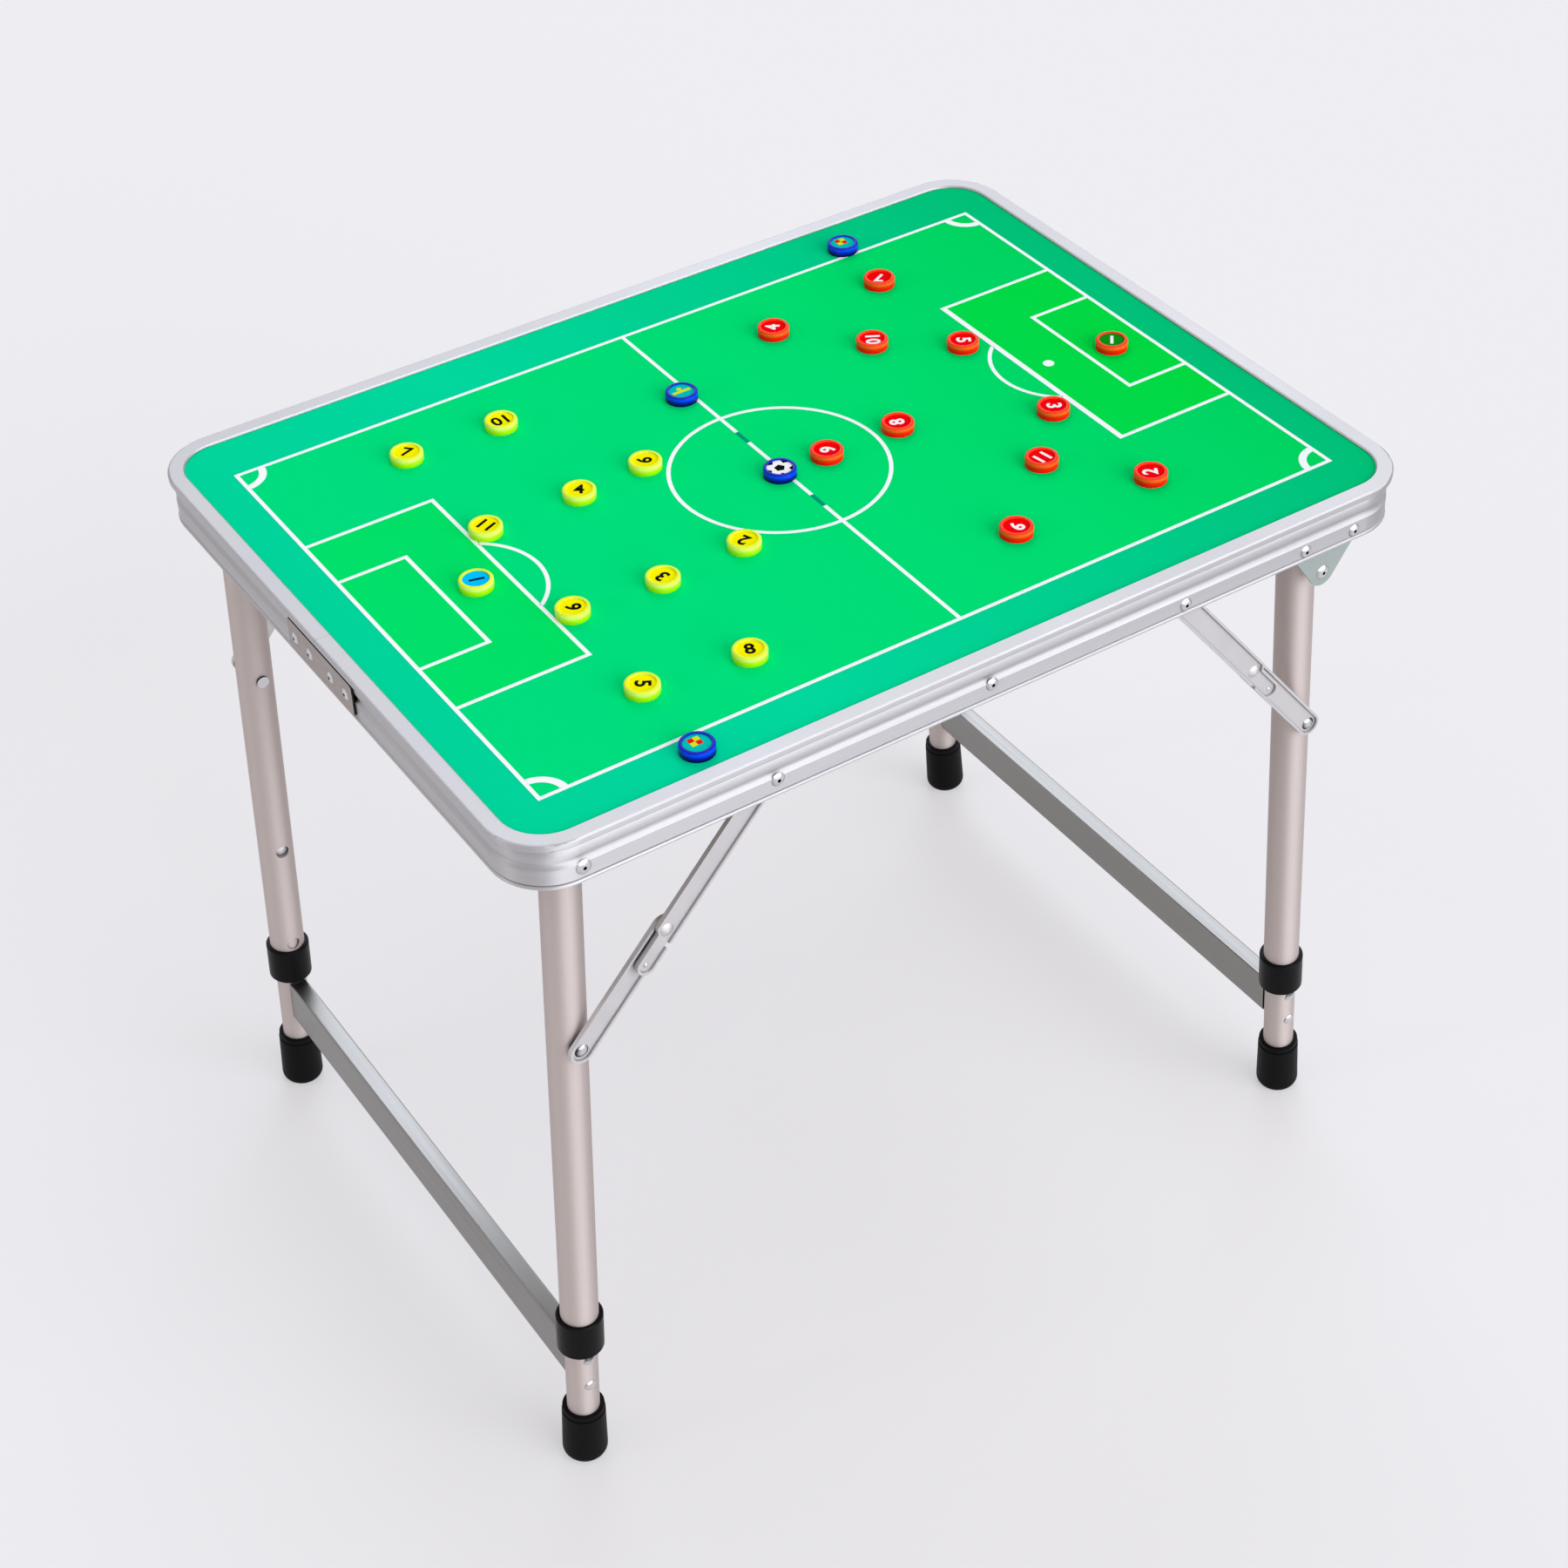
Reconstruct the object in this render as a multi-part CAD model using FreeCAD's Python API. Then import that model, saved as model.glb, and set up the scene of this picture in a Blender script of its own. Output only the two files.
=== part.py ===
"""Tactics board: a folding aluminium table whose printed magnetic top carries numbered counters.

Millimetres. +X runs along the long side of the board, +Y to its far side and +Z up.
The origin is on the floor, under the middle of the board.
"""
import FreeCAD
import Part
import math
import os

from FreeCAD import Vector

# Board
BOARD_LENGTH = 600.0
BOARD_WIDTH = 450.0
BOARD_HEIGHT = 505.0            # floor to printed surface
CORNER_RADIUS = 36.0

# Panel layers, from the top
FILM_THICKNESS = 0.3
SHEET_THICKNESS = 0.5
CORE_THICKNESS = 4.7
PANEL_CLEARANCE = 0.4           # panel edge to the back of the rim's groove
GROOVE_CLEARANCE = 0.1          # panel to the lip above it and the ledge below it

# Section of the rim extrusion: insets are measured inwards from the lip's outer edge
LIP_WIDTH = 10.2
LIP_RISE = 1.5
LIP_DROP = 3.5
LIP_BEVEL = 0.8
LIP_RADIUS = 1.4
NECK_INSET = 3.8
NECK_HEIGHT = 2.0
BAND_INSET = 2.4
FLUTE_INSET = 3.2
FLUTE_FLOOR = 4.2
RIDGE_HEIGHT = 7.0
FLUTE_HEIGHT = 4.4
BEAD_INSET = 1.9
BEAD_HEIGHT = 2.6
WALL_INSET = 5.6
SKIRT_DEPTH = 30.5
LEDGE_WIDTH = 7.0
LEDGE_THICKNESS = 1.5

# Butt joint of the bent rim, on the left short side, and the plate that bridges it
JOINT_Y = 2.2
JOINT_SLIT = 0.15
JOINER_LENGTH = 79.0
JOINER_MARGIN = 0.9             # plate to the neck above it and the bead below it
JOINER_THICKNESS = 1.2
JOINER_CORNER = 2.4
JOINER_INNER_RIVET = 12.8       # from the joint
JOINER_OUTER_RIVET = 8.5        # from the end of the plate
JOINER_HEAD_RADIUS = 3.6
JOINER_HEAD_HEIGHT = 1.0
SEAT_GAP = 0.05                 # between pieces that are riveted together

# Rivets
RIVET_RADIUS = 2.4
RIVET_HEAD_RADIUS = 4.0
RIVET_HEAD_HEIGHT = 1.5
RIVET_TAIL = 2.0                # shank standing out behind the last plate
EYE_RADIUS = 1.1                # hole that the mandrel of a blind rivet leaves in its head
EYE_DEPTH = 1.2
HOLE_CLEARANCE = 0.05
RUNNING_CLEARANCE = 0.06        # pins that a leg or link turns on
SIDE_RIVET_X = -5.0
SIDE_RIVET_RISE = 11.5          # above the rim's lower edge

# Legs
UPPER_TUBE_RADIUS = 11.5
UPPER_TUBE_WALL = 1.2
TELESCOPE_CLEARANCE = 0.3       # lower tube in the bore of the upper one
LOWER_TUBE_WALL = 1.0
LOWER_TUBE_GAP = 13.0           # lower tube, pushed in, to the brace rivet above it
TUBE_TOP = 6.5                  # upper tube above its pivot
CAP_THICKNESS = 1.5
CAP_ROUND = 0.9
PLUG_LENGTH = 26.0
PLUG_CLEARANCE = 0.05
PIVOT_RADIUS = 3.0
PIVOT_HEAD_RADIUS = 4.6
BUSH_RADIUS = 4.5
LEG_CLEARANCE = 0.3             # between a leg and what stands beside it

# Collar that closes the lower end of each upper tube
COLLAR_WALL = 2.7
COLLAR_HEIGHT = 28.0
COLLAR_LIP = 3.5
COLLAR_TAPER = 2.2              # bevel of its lower edge
COLLAR_BEVEL = 0.8              # bevel of its upper edge
COLLAR_CLEARANCE = 0.35

# Foot
FOOT_WALL = 3.95
FOOT_TAPER = 0.6
FOOT_HEIGHT = 42.0
FOOT_SOLE = 7.0
FOOT_ROUND = 6.5
FOOT_BEAD = 4.0
FOOT_BEAD_DEPTH = 0.5

# Crossbar between the two lower tubes of a set
CROSSBAR_ABOVE_FOOT = 22.0
CROSSBAR_HEIGHT = 30.0
CROSSBAR_DEPTH = 12.0
CROSSBAR_WALL = 1.4
CROSSBAR_END = 2.5
CROSSBAR_CORNER = 1.5
CROSSBAR_RIVET_EDGE = 3.75      # rivet to the edge of the bar
CROSSBAR_HEAD_RADIUS = 3.4
CROSSBAR_HEAD_HEIGHT = 1.2
CROSSBAR_SHANK = 1.9
COLLAR_GAP = 1.5                # crossbar to collar with the legs pushed in

# Height setting: holes in the upper tube, sprung button in the lower one
SETTING_ABOVE_COLLAR = 5.5      # lower hole to the top of the collar
SETTING_SPACING = 80.0          # also how far the legs pull out
SETTING_CLEARANCE = 0.4
BUTTON_RADIUS = 4.1
BUTTON_NOSE = 1.3
BUTTON_FLANGE = 1.3             # width round the button
BUTTON_FLANGE_THICKNESS = 1.2
BUTTON_TRAVEL = 3.5             # out through a setting hole
SPRING_THICKNESS = 0.6
SPRING_WIDTH = 7.0
SPRING_LENGTH = 44.0
SPRING_BEND = 3.0

# Folding braces: a frame link and a leg link, in line when the leg stands
FRAME_LINK = 102.5
LEG_LINK = 83.2
LINK_WIDTH = 15.0
LINK_THICKNESS = 1.5
LINK_EDGE = 1.5                 # width and height of the raised edges
LINK_GAP = 0.3
LINK_PIN = 2.5
LINK_HEAD_RADIUS = 4.2
SHOULDER_GAP = 1.0              # rivet shoulder to the raised edges
PASSING_GAP = 0.35              # leg links to the collars and feet that pass them
BRACE_CLEARANCE = 0.65          # frame links to the brackets
STOP_TAB = 29.0                 # frame link past the middle pivot
STOP_TAB_WIDTH = 12.0
STOP_TAB_START = 1.0
STOP_NOTCH = 8.0                # notch in the tab's edge, past the middle pivot
STOP_NOTCH_RADIUS = 2.0
DIMPLE_RADIUS = 1.5             # catch pressed near the end of the tab
DIMPLE_HEIGHT = 0.8

# Brackets that hang the right legs under the rim
BRACKET_THICKNESS = 1.8
BRACKET_TOP_WIDTH = 50.0
BRACKET_TOP_GAP = 1.9           # bracket to the ledge above it
BRACKET_SHOULDER_RISE = 3.5     # above the rim's lower edge
BRACKET_END_RADIUS = 9.0
BRACKET_RIVET_EDGE = 6.75       # rivet to the side of the bracket
BRACKET_RIVET_RISE = 7.1        # above the rim's lower edge
BRACKET_MARGIN = 2.5            # bracket to the bend of the rim

# Leg sets: splay in degrees; inset of the pivot and of the brace's anchor from the bend at that end of the
# board; rise of both above the rim's lower edge
LEG_SETS = {
    "left": {"side": -1, "splay": 2.75, "inset": 2.0, "rise": 10.0, "anchor": 120.0, "anchor_rise": 11.0},
    "right": {
        "side": 1, "splay": 4.0, "inset": BRACKET_TOP_WIDTH / 2 + BRACKET_MARGIN, "rise": -17.0,
        "anchor": 134.0, "anchor_rise": BRACKET_RIVET_RISE,
    },
}

# Counters
COUNTER_RADIUS = 10.0
COUNTER_HEIGHT = 6.0
COUNTER_ROUND = 1.2
COUNTER_RIM = 2.1
COUNTER_RECESS = 1.0
MAGNET_RADIUS = 7.5
MAGNET_THICKNESS = 3.0
MAGNET_CLEARANCE = 0.1
MAGNET_LIFT = 0.2

# Places of the counters, as shares of the open face's half length and half width
YELLOW = {
    1: (-0.697, -0.019), 2: (-0.204, -0.275), 3: (-0.397, -0.289), 4: (-0.380, 0.182),
    5: (-0.604, -0.647), 6: (-0.217, 0.200), 7: (-0.600, 0.619), 8: (-0.386, -0.684),
    9: (-0.590, -0.270), 10: (-0.383, 0.610), 11: (-0.594, 0.182),
}
RED = {
    1: (0.832, -0.056), 2: (0.587, -0.647), 3: (0.576, -0.233), 4: (0.276, 0.577), 5: (0.576, 0.196),
    6: (0.104, -0.047), 7: (0.580, 0.628), 8: (0.280, -0.047), 9: (0.255, -0.642), 10: (0.421, 0.354),
    11: (0.442, -0.419),
}
OFFICIALS = {
    "referee": (-0.021, 0.438), "assistant_far": (0.600, 0.861), "assistant_near": (-0.614, -0.926),
    "ball": (-0.010, -0.047),
}

# Levels of the table top
PANEL_THICKNESS = FILM_THICKNESS + SHEET_THICKNESS + CORE_THICKNESS
LEDGE_TOP = BOARD_HEIGHT - PANEL_THICKNESS - GROOVE_CLEARANCE
LEDGE_BOTTOM = LEDGE_TOP - LEDGE_THICKNESS
RIM_BOTTOM = BOARD_HEIGHT - SKIRT_DEPTH
FLUTES_TOP = BOARD_HEIGHT - LIP_DROP - NECK_HEIGHT

# Round sizes of the legs
UPPER_BORE = UPPER_TUBE_RADIUS - UPPER_TUBE_WALL
LOWER_TUBE_RADIUS = UPPER_BORE - TELESCOPE_CLEARANCE
LOWER_BORE = LOWER_TUBE_RADIUS - LOWER_TUBE_WALL
COLLAR_BORE = UPPER_TUBE_RADIUS + PLUG_CLEARANCE
COLLAR_RADIUS = COLLAR_BORE + COLLAR_WALL
FOOT_BORE = LOWER_TUBE_RADIUS + PLUG_CLEARANCE
FOOT_RADIUS = FOOT_BORE + FOOT_WALL
SETTING_HOLE_RADIUS = BUTTON_RADIUS + SETTING_CLEARANCE
BUTTON_FLANGE_RADIUS = BUTTON_RADIUS + BUTTON_FLANGE
SHOULDER_RADIUS = LINK_WIDTH / 2 - LINK_EDGE - SHOULDER_GAP

# Distances from the middle of the board, outside to inside: skirt, brackets, braces, then the legs,
# whose collars and feet pass the braces of the other leg set as they fold
BAND_Y = BOARD_WIDTH / 2 - BAND_INSET
WALL_Y = BOARD_WIDTH / 2 - WALL_INSET
BRACKET_Y = WALL_Y - SEAT_GAP
FRAME_LINK_Y = BRACKET_Y - BRACKET_THICKNESS - BRACE_CLEARANCE - LINK_EDGE - LINK_THICKNESS
LEG_LINK_Y = FRAME_LINK_Y - LINK_GAP - LINK_EDGE - LINK_THICKNESS
LEG_Y = LEG_LINK_Y - PASSING_GAP - max(COLLAR_RADIUS, FOOT_RADIUS)
LEG_FACE_Y = LEG_Y + UPPER_TUBE_RADIUS
LEG_INNER_Y = LEG_Y - UPPER_TUBE_RADIUS

# Levels along a leg, from the floor
CROSSBAR_LEVEL = FOOT_HEIGHT + CROSSBAR_ABOVE_FOOT
COLLAR_LEVEL = CROSSBAR_LEVEL + CROSSBAR_HEIGHT + COLLAR_GAP
LOWER_SETTING = COLLAR_LEVEL + COLLAR_HEIGHT + SETTING_ABOVE_COLLAR
UPPER_SETTING = LOWER_SETTING + SETTING_SPACING

ORIGIN = Vector(0, 0, 0)
UP = Vector(0, 0, 1)
ACROSS = Vector(0, 1, 0)


def save(name, shapes):
    """Write one node; several like pieces go into it as separate solids."""
    shape = shapes[0] if len(shapes) == 1 else Part.makeCompound(shapes)
    shape.exportStep("parts/" + name + ".step")


def near_and_far(shape):
    """A piece of the near side and its mirror image on the far side."""
    return [shape, shape.mirror(ORIGIN, ACROSS)]


def joined(shapes):
    """One solid out of several that touch."""
    return shapes[0].multiFuse(shapes[1:]).removeSplitter().Solids[0]


def outline(steps):
    """Closed face from points; a step of two points is an arc through the first to the second."""
    edges = []
    start = steps[0]
    here = start
    for step in steps[1:] + [start]:
        if isinstance(step, tuple):
            edges.append(Part.Arc(here, step[0], step[1]).toShape())
            here = step[1]
        else:
            edges.append(Part.makeLine(here, step))
            here = step
    return Part.Face(Part.Wire(edges))


def arc_to(centre, radius, middle_angle, end_angle, place):
    """Arc step for outline(): angles in degrees about a centre, placed in space by a function."""
    def point(angle):
        turn = math.radians(angle)
        return place(centre[0] + radius * math.cos(turn), centre[1] + radius * math.sin(turn))
    return point(middle_angle), point(end_angle)


def turned(steps, axis_start, axis):
    """Solid of revolution of a closed outline."""
    return outline(steps).revolve(axis_start, axis, 360).Solids[0]


def rod(radius, x, z, y_from, y_to):
    """Round bar across the board, used for pins and for the holes that take them."""
    return Part.makeCylinder(radius, y_to - y_from, Vector(x, y_from, z), ACROSS)


def edges_along(shape, direction):
    """Straight edges of a block that run in one direction."""
    return [e for e in shape.Edges if e.tangentAt(e.FirstParameter).cross(direction).Length < 1e-6]


def rounded_plate(length, width, radius, thickness, z):
    """Flat plate with round corners, centred on the board, top face at z."""
    plate = Part.makeBox(length, width, thickness, Vector(-length / 2, -width / 2, z - thickness))
    return plate.makeFillet(radius, edges_along(plate, UP))


def dome(radius, height, eye=0.0):
    """Start and middle of a dome's arc, outside an eye in its crown: radius and drop below the crown."""
    sphere = (radius ** 2 + height ** 2) / (2 * height)
    start = math.asin(eye / sphere)
    middle = (start + math.asin(radius / sphere)) / 2
    return [(sphere * math.sin(angle), sphere * (1 - math.cos(angle))) for angle in (start, middle)]


def rivet(x, z, seat_y, head, shank, end_y, collars=(), blind=False):
    """Domed rivet on the near side, head outwards, its shank running inwards to end_y.

    head is (radius, height); collars are (radius, from y, to y) along the shank, outermost first.
    A blind rivet has an eye in its head.
    """
    def at(radius, y):
        return Vector(x + radius, y, z)
    radius, height = head
    crown = seat_y - height
    (edge, edge_drop), (middle, drop) = dome(radius, height, EYE_RADIUS if blind else 0.0)
    steps = [at(edge, crown + edge_drop), (at(middle, crown + drop), at(radius, seat_y))]
    if blind:
        steps = [at(0, crown + EYE_DEPTH), at(edge, crown + EYE_DEPTH)] + steps
    here = seat_y
    for collar_radius, y_from, y_to in collars:
        if y_from > here:
            steps += [at(shank, here), at(shank, y_from)]
        steps += [at(collar_radius, y_from), at(collar_radius, y_to)]
        here = y_to
    if here < end_y:
        steps += [at(shank, here), at(shank, end_y)]
    steps.append(at(0, end_y))
    return turned(steps, Vector(x, 0, z), ACROSS)


def rim_section(half_span):
    """Section of the extrusion on a side that faces -Y, at X = 0."""
    def at(inset, rise):
        return Vector(0, inset - half_span, BOARD_HEIGHT + rise)
    ledge_top = LEDGE_TOP - BOARD_HEIGHT
    ledge_bottom = LEDGE_BOTTOM - BOARD_HEIGHT
    ledge_end = WALL_INSET + LEDGE_WIDTH
    neck_top = -LIP_DROP
    ridge_top = neck_top - NECK_HEIGHT
    bead_top = BEAD_HEIGHT - SKIRT_DEPTH
    bead_middle = bead_top - BEAD_HEIGHT / 2
    quarter = LIP_RADIUS * (1 - math.sqrt(0.5))
    flute = FLUTE_INSET - BAND_INSET
    steps = [
        at(LIP_WIDTH, GROOVE_CLEARANCE),
        at(LIP_WIDTH, LIP_RISE - LIP_BEVEL),
        at(LIP_WIDTH - LIP_BEVEL, LIP_RISE),
        at(LIP_RADIUS, LIP_RISE),
        (at(quarter, LIP_RISE - quarter), at(0, LIP_RISE - LIP_RADIUS)),
        at(0, neck_top + LIP_RADIUS),
        (at(quarter, neck_top + quarter), at(LIP_RADIUS, neck_top)),
        at(NECK_INSET, neck_top),
        at(NECK_INSET, ridge_top),
        at(FLUTE_INSET, ridge_top),
    ]
    flute_top = ridge_top - RIDGE_HEIGHT
    band_top = flute_top - FLUTE_HEIGHT
    steps += [
        (at(BAND_INSET, (ridge_top + flute_top) / 2), at(FLUTE_INSET, flute_top)),
        (at(FLUTE_FLOOR, (flute_top + band_top) / 2), at(FLUTE_INSET, band_top)),
        at(BAND_INSET, band_top - flute),
        at(BAND_INSET, bead_top + flute),
        at(FLUTE_INSET, bead_top),
        (at(BEAD_INSET, bead_middle), at(FLUTE_INSET, -SKIRT_DEPTH)),
        at(WALL_INSET, -SKIRT_DEPTH),
        at(WALL_INSET, ledge_bottom),
        at(ledge_end, ledge_bottom),
        at(ledge_end, ledge_top),
        at(WALL_INSET, ledge_top),
        at(WALL_INSET, GROOVE_CLEARANCE),
    ]
    return outline(steps)


def rim_side(length, half_span, angle):
    """Straight length of the rim, turned about Z to its side of the board."""
    face = rim_section(half_span)
    face.translate(Vector(-length / 2, 0, 0))
    side = face.extrude(Vector(length, 0, 0))
    side.rotate(ORIGIN, UP, angle)
    return side


def rim_corner():
    """Bent corner at +X, -Y."""
    face = rim_section(BOARD_WIDTH / 2)
    centre = Vector(BOARD_LENGTH / 2 - CORNER_RADIUS, CORNER_RADIUS - BOARD_WIDTH / 2, 0)
    face.translate(Vector(centre.x, 0, 0))
    return face.revolve(centre, UP, 90)


def on_skirt(leg, inset, rise):
    """Place on a long side's skirt: x and z."""
    return leg["side"] * (BOARD_LENGTH / 2 - CORNER_RADIUS - inset), RIM_BOTTOM + rise


def leg_pivot(leg):
    """Place of a leg set's pivot: x and z."""
    return on_skirt(leg, leg["inset"], leg["rise"])


def anchor(leg):
    """Place of a brace's pivot on the rim: x and z."""
    return on_skirt(leg, leg["anchor"], leg["anchor_rise"])


def leg_length(leg):
    """Pivot to floor along the leg."""
    return leg_pivot(leg)[1] / math.cos(math.radians(leg["splay"]))


def brace_drop(leg):
    """Distance down the leg, from its pivot, at which the straight brace meets it."""
    splay = math.radians(leg["splay"])
    along = (leg["side"] * math.sin(splay), -math.cos(splay))
    pivot, end = leg_pivot(leg), anchor(leg)
    offset = (pivot[0] - end[0], pivot[1] - end[1])
    lean = along[0] * offset[0] + along[1] * offset[1]
    reach = (FRAME_LINK + LEG_LINK) ** 2 - offset[0] ** 2 - offset[1] ** 2
    return math.sqrt(lean ** 2 + reach) - lean


def stood(shape, leg):
    """Turn a piece made about the pivot, with its leg straight down, to the leg's place and splay."""
    x, z = leg_pivot(leg)
    placed = shape.copy()
    placed.rotate(ORIGIN, ACROSS, -leg["side"] * leg["splay"])
    placed.translate(Vector(x, 0, z))
    return placed


def pipe(outer, inner, low, high):
    """Round tube along the near leg, between two levels below the pivot."""
    base = Vector(0, -LEG_Y, low)
    return Part.makeCylinder(outer, high - low, base).cut(Part.makeCylinder(inner, high - low, base))


def make_rim():
    """Rim extrusion, bent round the board from one length, with every rivet hole through its skirt."""
    long_side = BOARD_LENGTH - 2 * CORNER_RADIUS
    short_side = BOARD_WIDTH - 2 * CORNER_RADIUS
    corner = rim_corner()
    far_corner = corner.mirror(ORIGIN, ACROSS)
    along = Vector(1, 0, 0)
    rim = joined([
        rim_side(long_side, BOARD_WIDTH / 2, 0),
        rim_side(long_side, BOARD_WIDTH / 2, 180),
        rim_side(short_side, BOARD_LENGTH / 2, 90),
        rim_side(short_side, BOARD_LENGTH / 2, -90),
        corner, far_corner, corner.mirror(ORIGIN, along), far_corner.mirror(ORIGIN, along),
    ])
    depth = max(LIP_WIDTH, WALL_INSET + LEDGE_WIDTH)
    height = SKIRT_DEPTH + LIP_RISE
    slit_start = Vector(-BOARD_LENGTH / 2, JOINT_Y - JOINT_SLIT / 2, RIM_BOTTOM)
    cuts = [Part.makeBox(depth, JOINT_SLIT, height, slit_start)]
    for x, z, radius in rim_holes():
        hole = rod(radius, x, z, -BOARD_WIDTH / 2, -WALL_Y + HOLE_CLEARANCE)
        cuts += near_and_far(hole)
    cuts += [short_side_bar(RIVET_RADIUS + HOLE_CLEARANCE, y) for y in joiner_rivet_places()]
    return rim.cut(cuts)


def rim_holes():
    """Rivet holes through the long sides: x, z and radius."""
    side_hole = RIVET_RADIUS + HOLE_CLEARANCE
    holes = [(SIDE_RIVET_X, RIM_BOTTOM + SIDE_RIVET_RISE, side_hole)]
    for x in bracket_rivet_places():
        holes.append((x, RIM_BOTTOM + BRACKET_RIVET_RISE, side_hole))
    for leg in LEG_SETS.values():
        holes.append(anchor(leg) + (LINK_PIN + HOLE_CLEARANCE,))
    holes.append(leg_pivot(LEG_SETS["left"]) + (PIVOT_RADIUS + HOLE_CLEARANCE,))
    return holes


def bracket_rivet_places():
    """Both rivets of a right bracket, along the rim."""
    x = leg_pivot(LEG_SETS["right"])[0]
    offset = BRACKET_TOP_WIDTH / 2 - BRACKET_RIVET_EDGE
    return x - offset, x + offset


def joiner_rivet_places():
    """Two rivets each side of the butt joint."""
    offsets = (JOINER_INNER_RIVET, JOINER_LENGTH / 2 - JOINER_OUTER_RIVET)
    return [JOINT_Y + sign * offset for sign in (-1, 1) for offset in offsets]


def joiner_level():
    """Middle of the fluted band that the joiner plate covers."""
    return (FLUTES_TOP + RIM_BOTTOM + BEAD_HEIGHT) / 2


def short_side_bar(radius, y):
    """Round bar through the skirt and joiner plate of the left short side."""
    start = Vector(-BOARD_LENGTH / 2, y, joiner_level())
    return Part.makeCylinder(radius, 2 * WALL_INSET, start, Vector(1, 0, 0))


def make_joiner():
    """Flat plate with round corners over the butt joint, outside the band."""
    height = FLUTES_TOP - RIM_BOTTOM - BEAD_HEIGHT - 2 * JOINER_MARGIN
    x = BAND_INSET - SEAT_GAP - JOINER_THICKNESS - BOARD_LENGTH / 2
    low = Vector(x, JOINT_Y - JOINER_LENGTH / 2, joiner_level() - height / 2)
    plate = Part.makeBox(JOINER_THICKNESS, JOINER_LENGTH, height, low)
    plate = plate.makeFillet(JOINER_CORNER, edges_along(plate, Vector(1, 0, 0)))
    return plate.cut([short_side_bar(RIVET_RADIUS + HOLE_CLEARANCE, y) for y in joiner_rivet_places()])


def make_rim_rivets():
    """Blind rivets through the skirt: middle of the long sides, right brackets and joiner plate."""
    head = (RIVET_HEAD_RADIUS, RIVET_HEAD_HEIGHT)
    rivets = []
    side_end = -WALL_Y + RIVET_TAIL
    level = RIM_BOTTOM + SIDE_RIVET_RISE
    rivets += near_and_far(rivet(SIDE_RIVET_X, level, -BAND_Y, head, RIVET_RADIUS, side_end, blind=True))
    bracket_end = -BRACKET_Y + BRACKET_THICKNESS + RIVET_TAIL
    level = RIM_BOTTOM + BRACKET_RIVET_RISE
    for x in bracket_rivet_places():
        rivets += near_and_far(rivet(x, level, -BAND_Y, head, RIVET_RADIUS, bracket_end, blind=True))
    seat = BAND_INSET - SEAT_GAP - JOINER_THICKNESS - BOARD_LENGTH / 2
    end = WALL_INSET + RIVET_TAIL - BOARD_LENGTH / 2
    head = (JOINER_HEAD_RADIUS, JOINER_HEAD_HEIGHT)
    for y in joiner_rivet_places():
        turned_in = rivet(-y, joiner_level(), seat, head, RIVET_RADIUS, end, blind=True)
        turned_in.rotate(ORIGIN, UP, -90)
        rivets.append(turned_in)
    return rivets


def make_brackets():
    """Right leg brackets: a plate that narrows to a round end about the leg pivot."""
    x, z = leg_pivot(LEG_SETS["right"])
    half = BRACKET_TOP_WIDTH / 2
    outside = -BRACKET_Y

    def at(across, level):
        return Vector(x + across, outside, level)
    top = LEDGE_BOTTOM - BRACKET_TOP_GAP
    shoulder = RIM_BOTTOM + BRACKET_SHOULDER_RISE
    slant = math.hypot(half, shoulder - z)
    lean = math.degrees(math.atan2(shoulder - z, half) - math.acos(BRACKET_END_RADIUS / slant))
    start = math.radians(180 - lean)
    steps = [
        at(half, shoulder),
        at(half, top),
        at(-half, top),
        at(-half, shoulder),
        at(BRACKET_END_RADIUS * math.cos(start), z + BRACKET_END_RADIUS * math.sin(start)),
        arc_to((0, z), BRACKET_END_RADIUS, -90, lean, at),
    ]
    plate = outline(steps).extrude(Vector(0, BRACKET_THICKNESS, 0))
    inside = outside + BRACKET_THICKNESS
    holes = [rod(PIVOT_RADIUS + HOLE_CLEARANCE, x, z, outside, inside)]
    level = RIM_BOTTOM + BRACKET_RIVET_RISE
    for hole_x in bracket_rivet_places():
        holes.append(rod(RIVET_RADIUS + HOLE_CLEARANCE, hole_x, level, outside, inside))
    return near_and_far(plate.cut(holes))


def pivot_seat(name):
    """Where a leg pivot's head sits and where its bush starts, from the middle of the board."""
    if name == "left":
        return BAND_Y, WALL_Y - LEG_CLEARANCE
    return BRACKET_Y, BRACKET_Y - BRACKET_THICKNESS


def make_leg_pivots():
    """Rivets that the legs turn on, and the bushes that hold the legs off the rim."""
    rivets = []
    bushes = []
    for name, leg in LEG_SETS.items():
        x, z = leg_pivot(leg)
        seat, bush_start = pivot_seat(name)
        tail = -LEG_INNER_Y + LEG_CLEARANCE
        collars = [(RIVET_HEAD_RADIUS, tail, tail + RIVET_HEAD_HEIGHT)]
        head = (PIVOT_HEAD_RADIUS, RIVET_HEAD_HEIGHT)
        pivot = rivet(x, z, -seat, head, PIVOT_RADIUS, tail + RIVET_HEAD_HEIGHT, collars, blind=True)
        rivets += near_and_far(pivot)
        bush_end = -LEG_FACE_Y - LEG_CLEARANCE
        bush = rod(BUSH_RADIUS, x, z, -bush_start, bush_end)
        hole = rod(PIVOT_RADIUS + HOLE_CLEARANCE, x, z, -bush_start, bush_end)
        bushes += near_and_far(bush.cut(hole))
    return rivets, bushes


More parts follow.
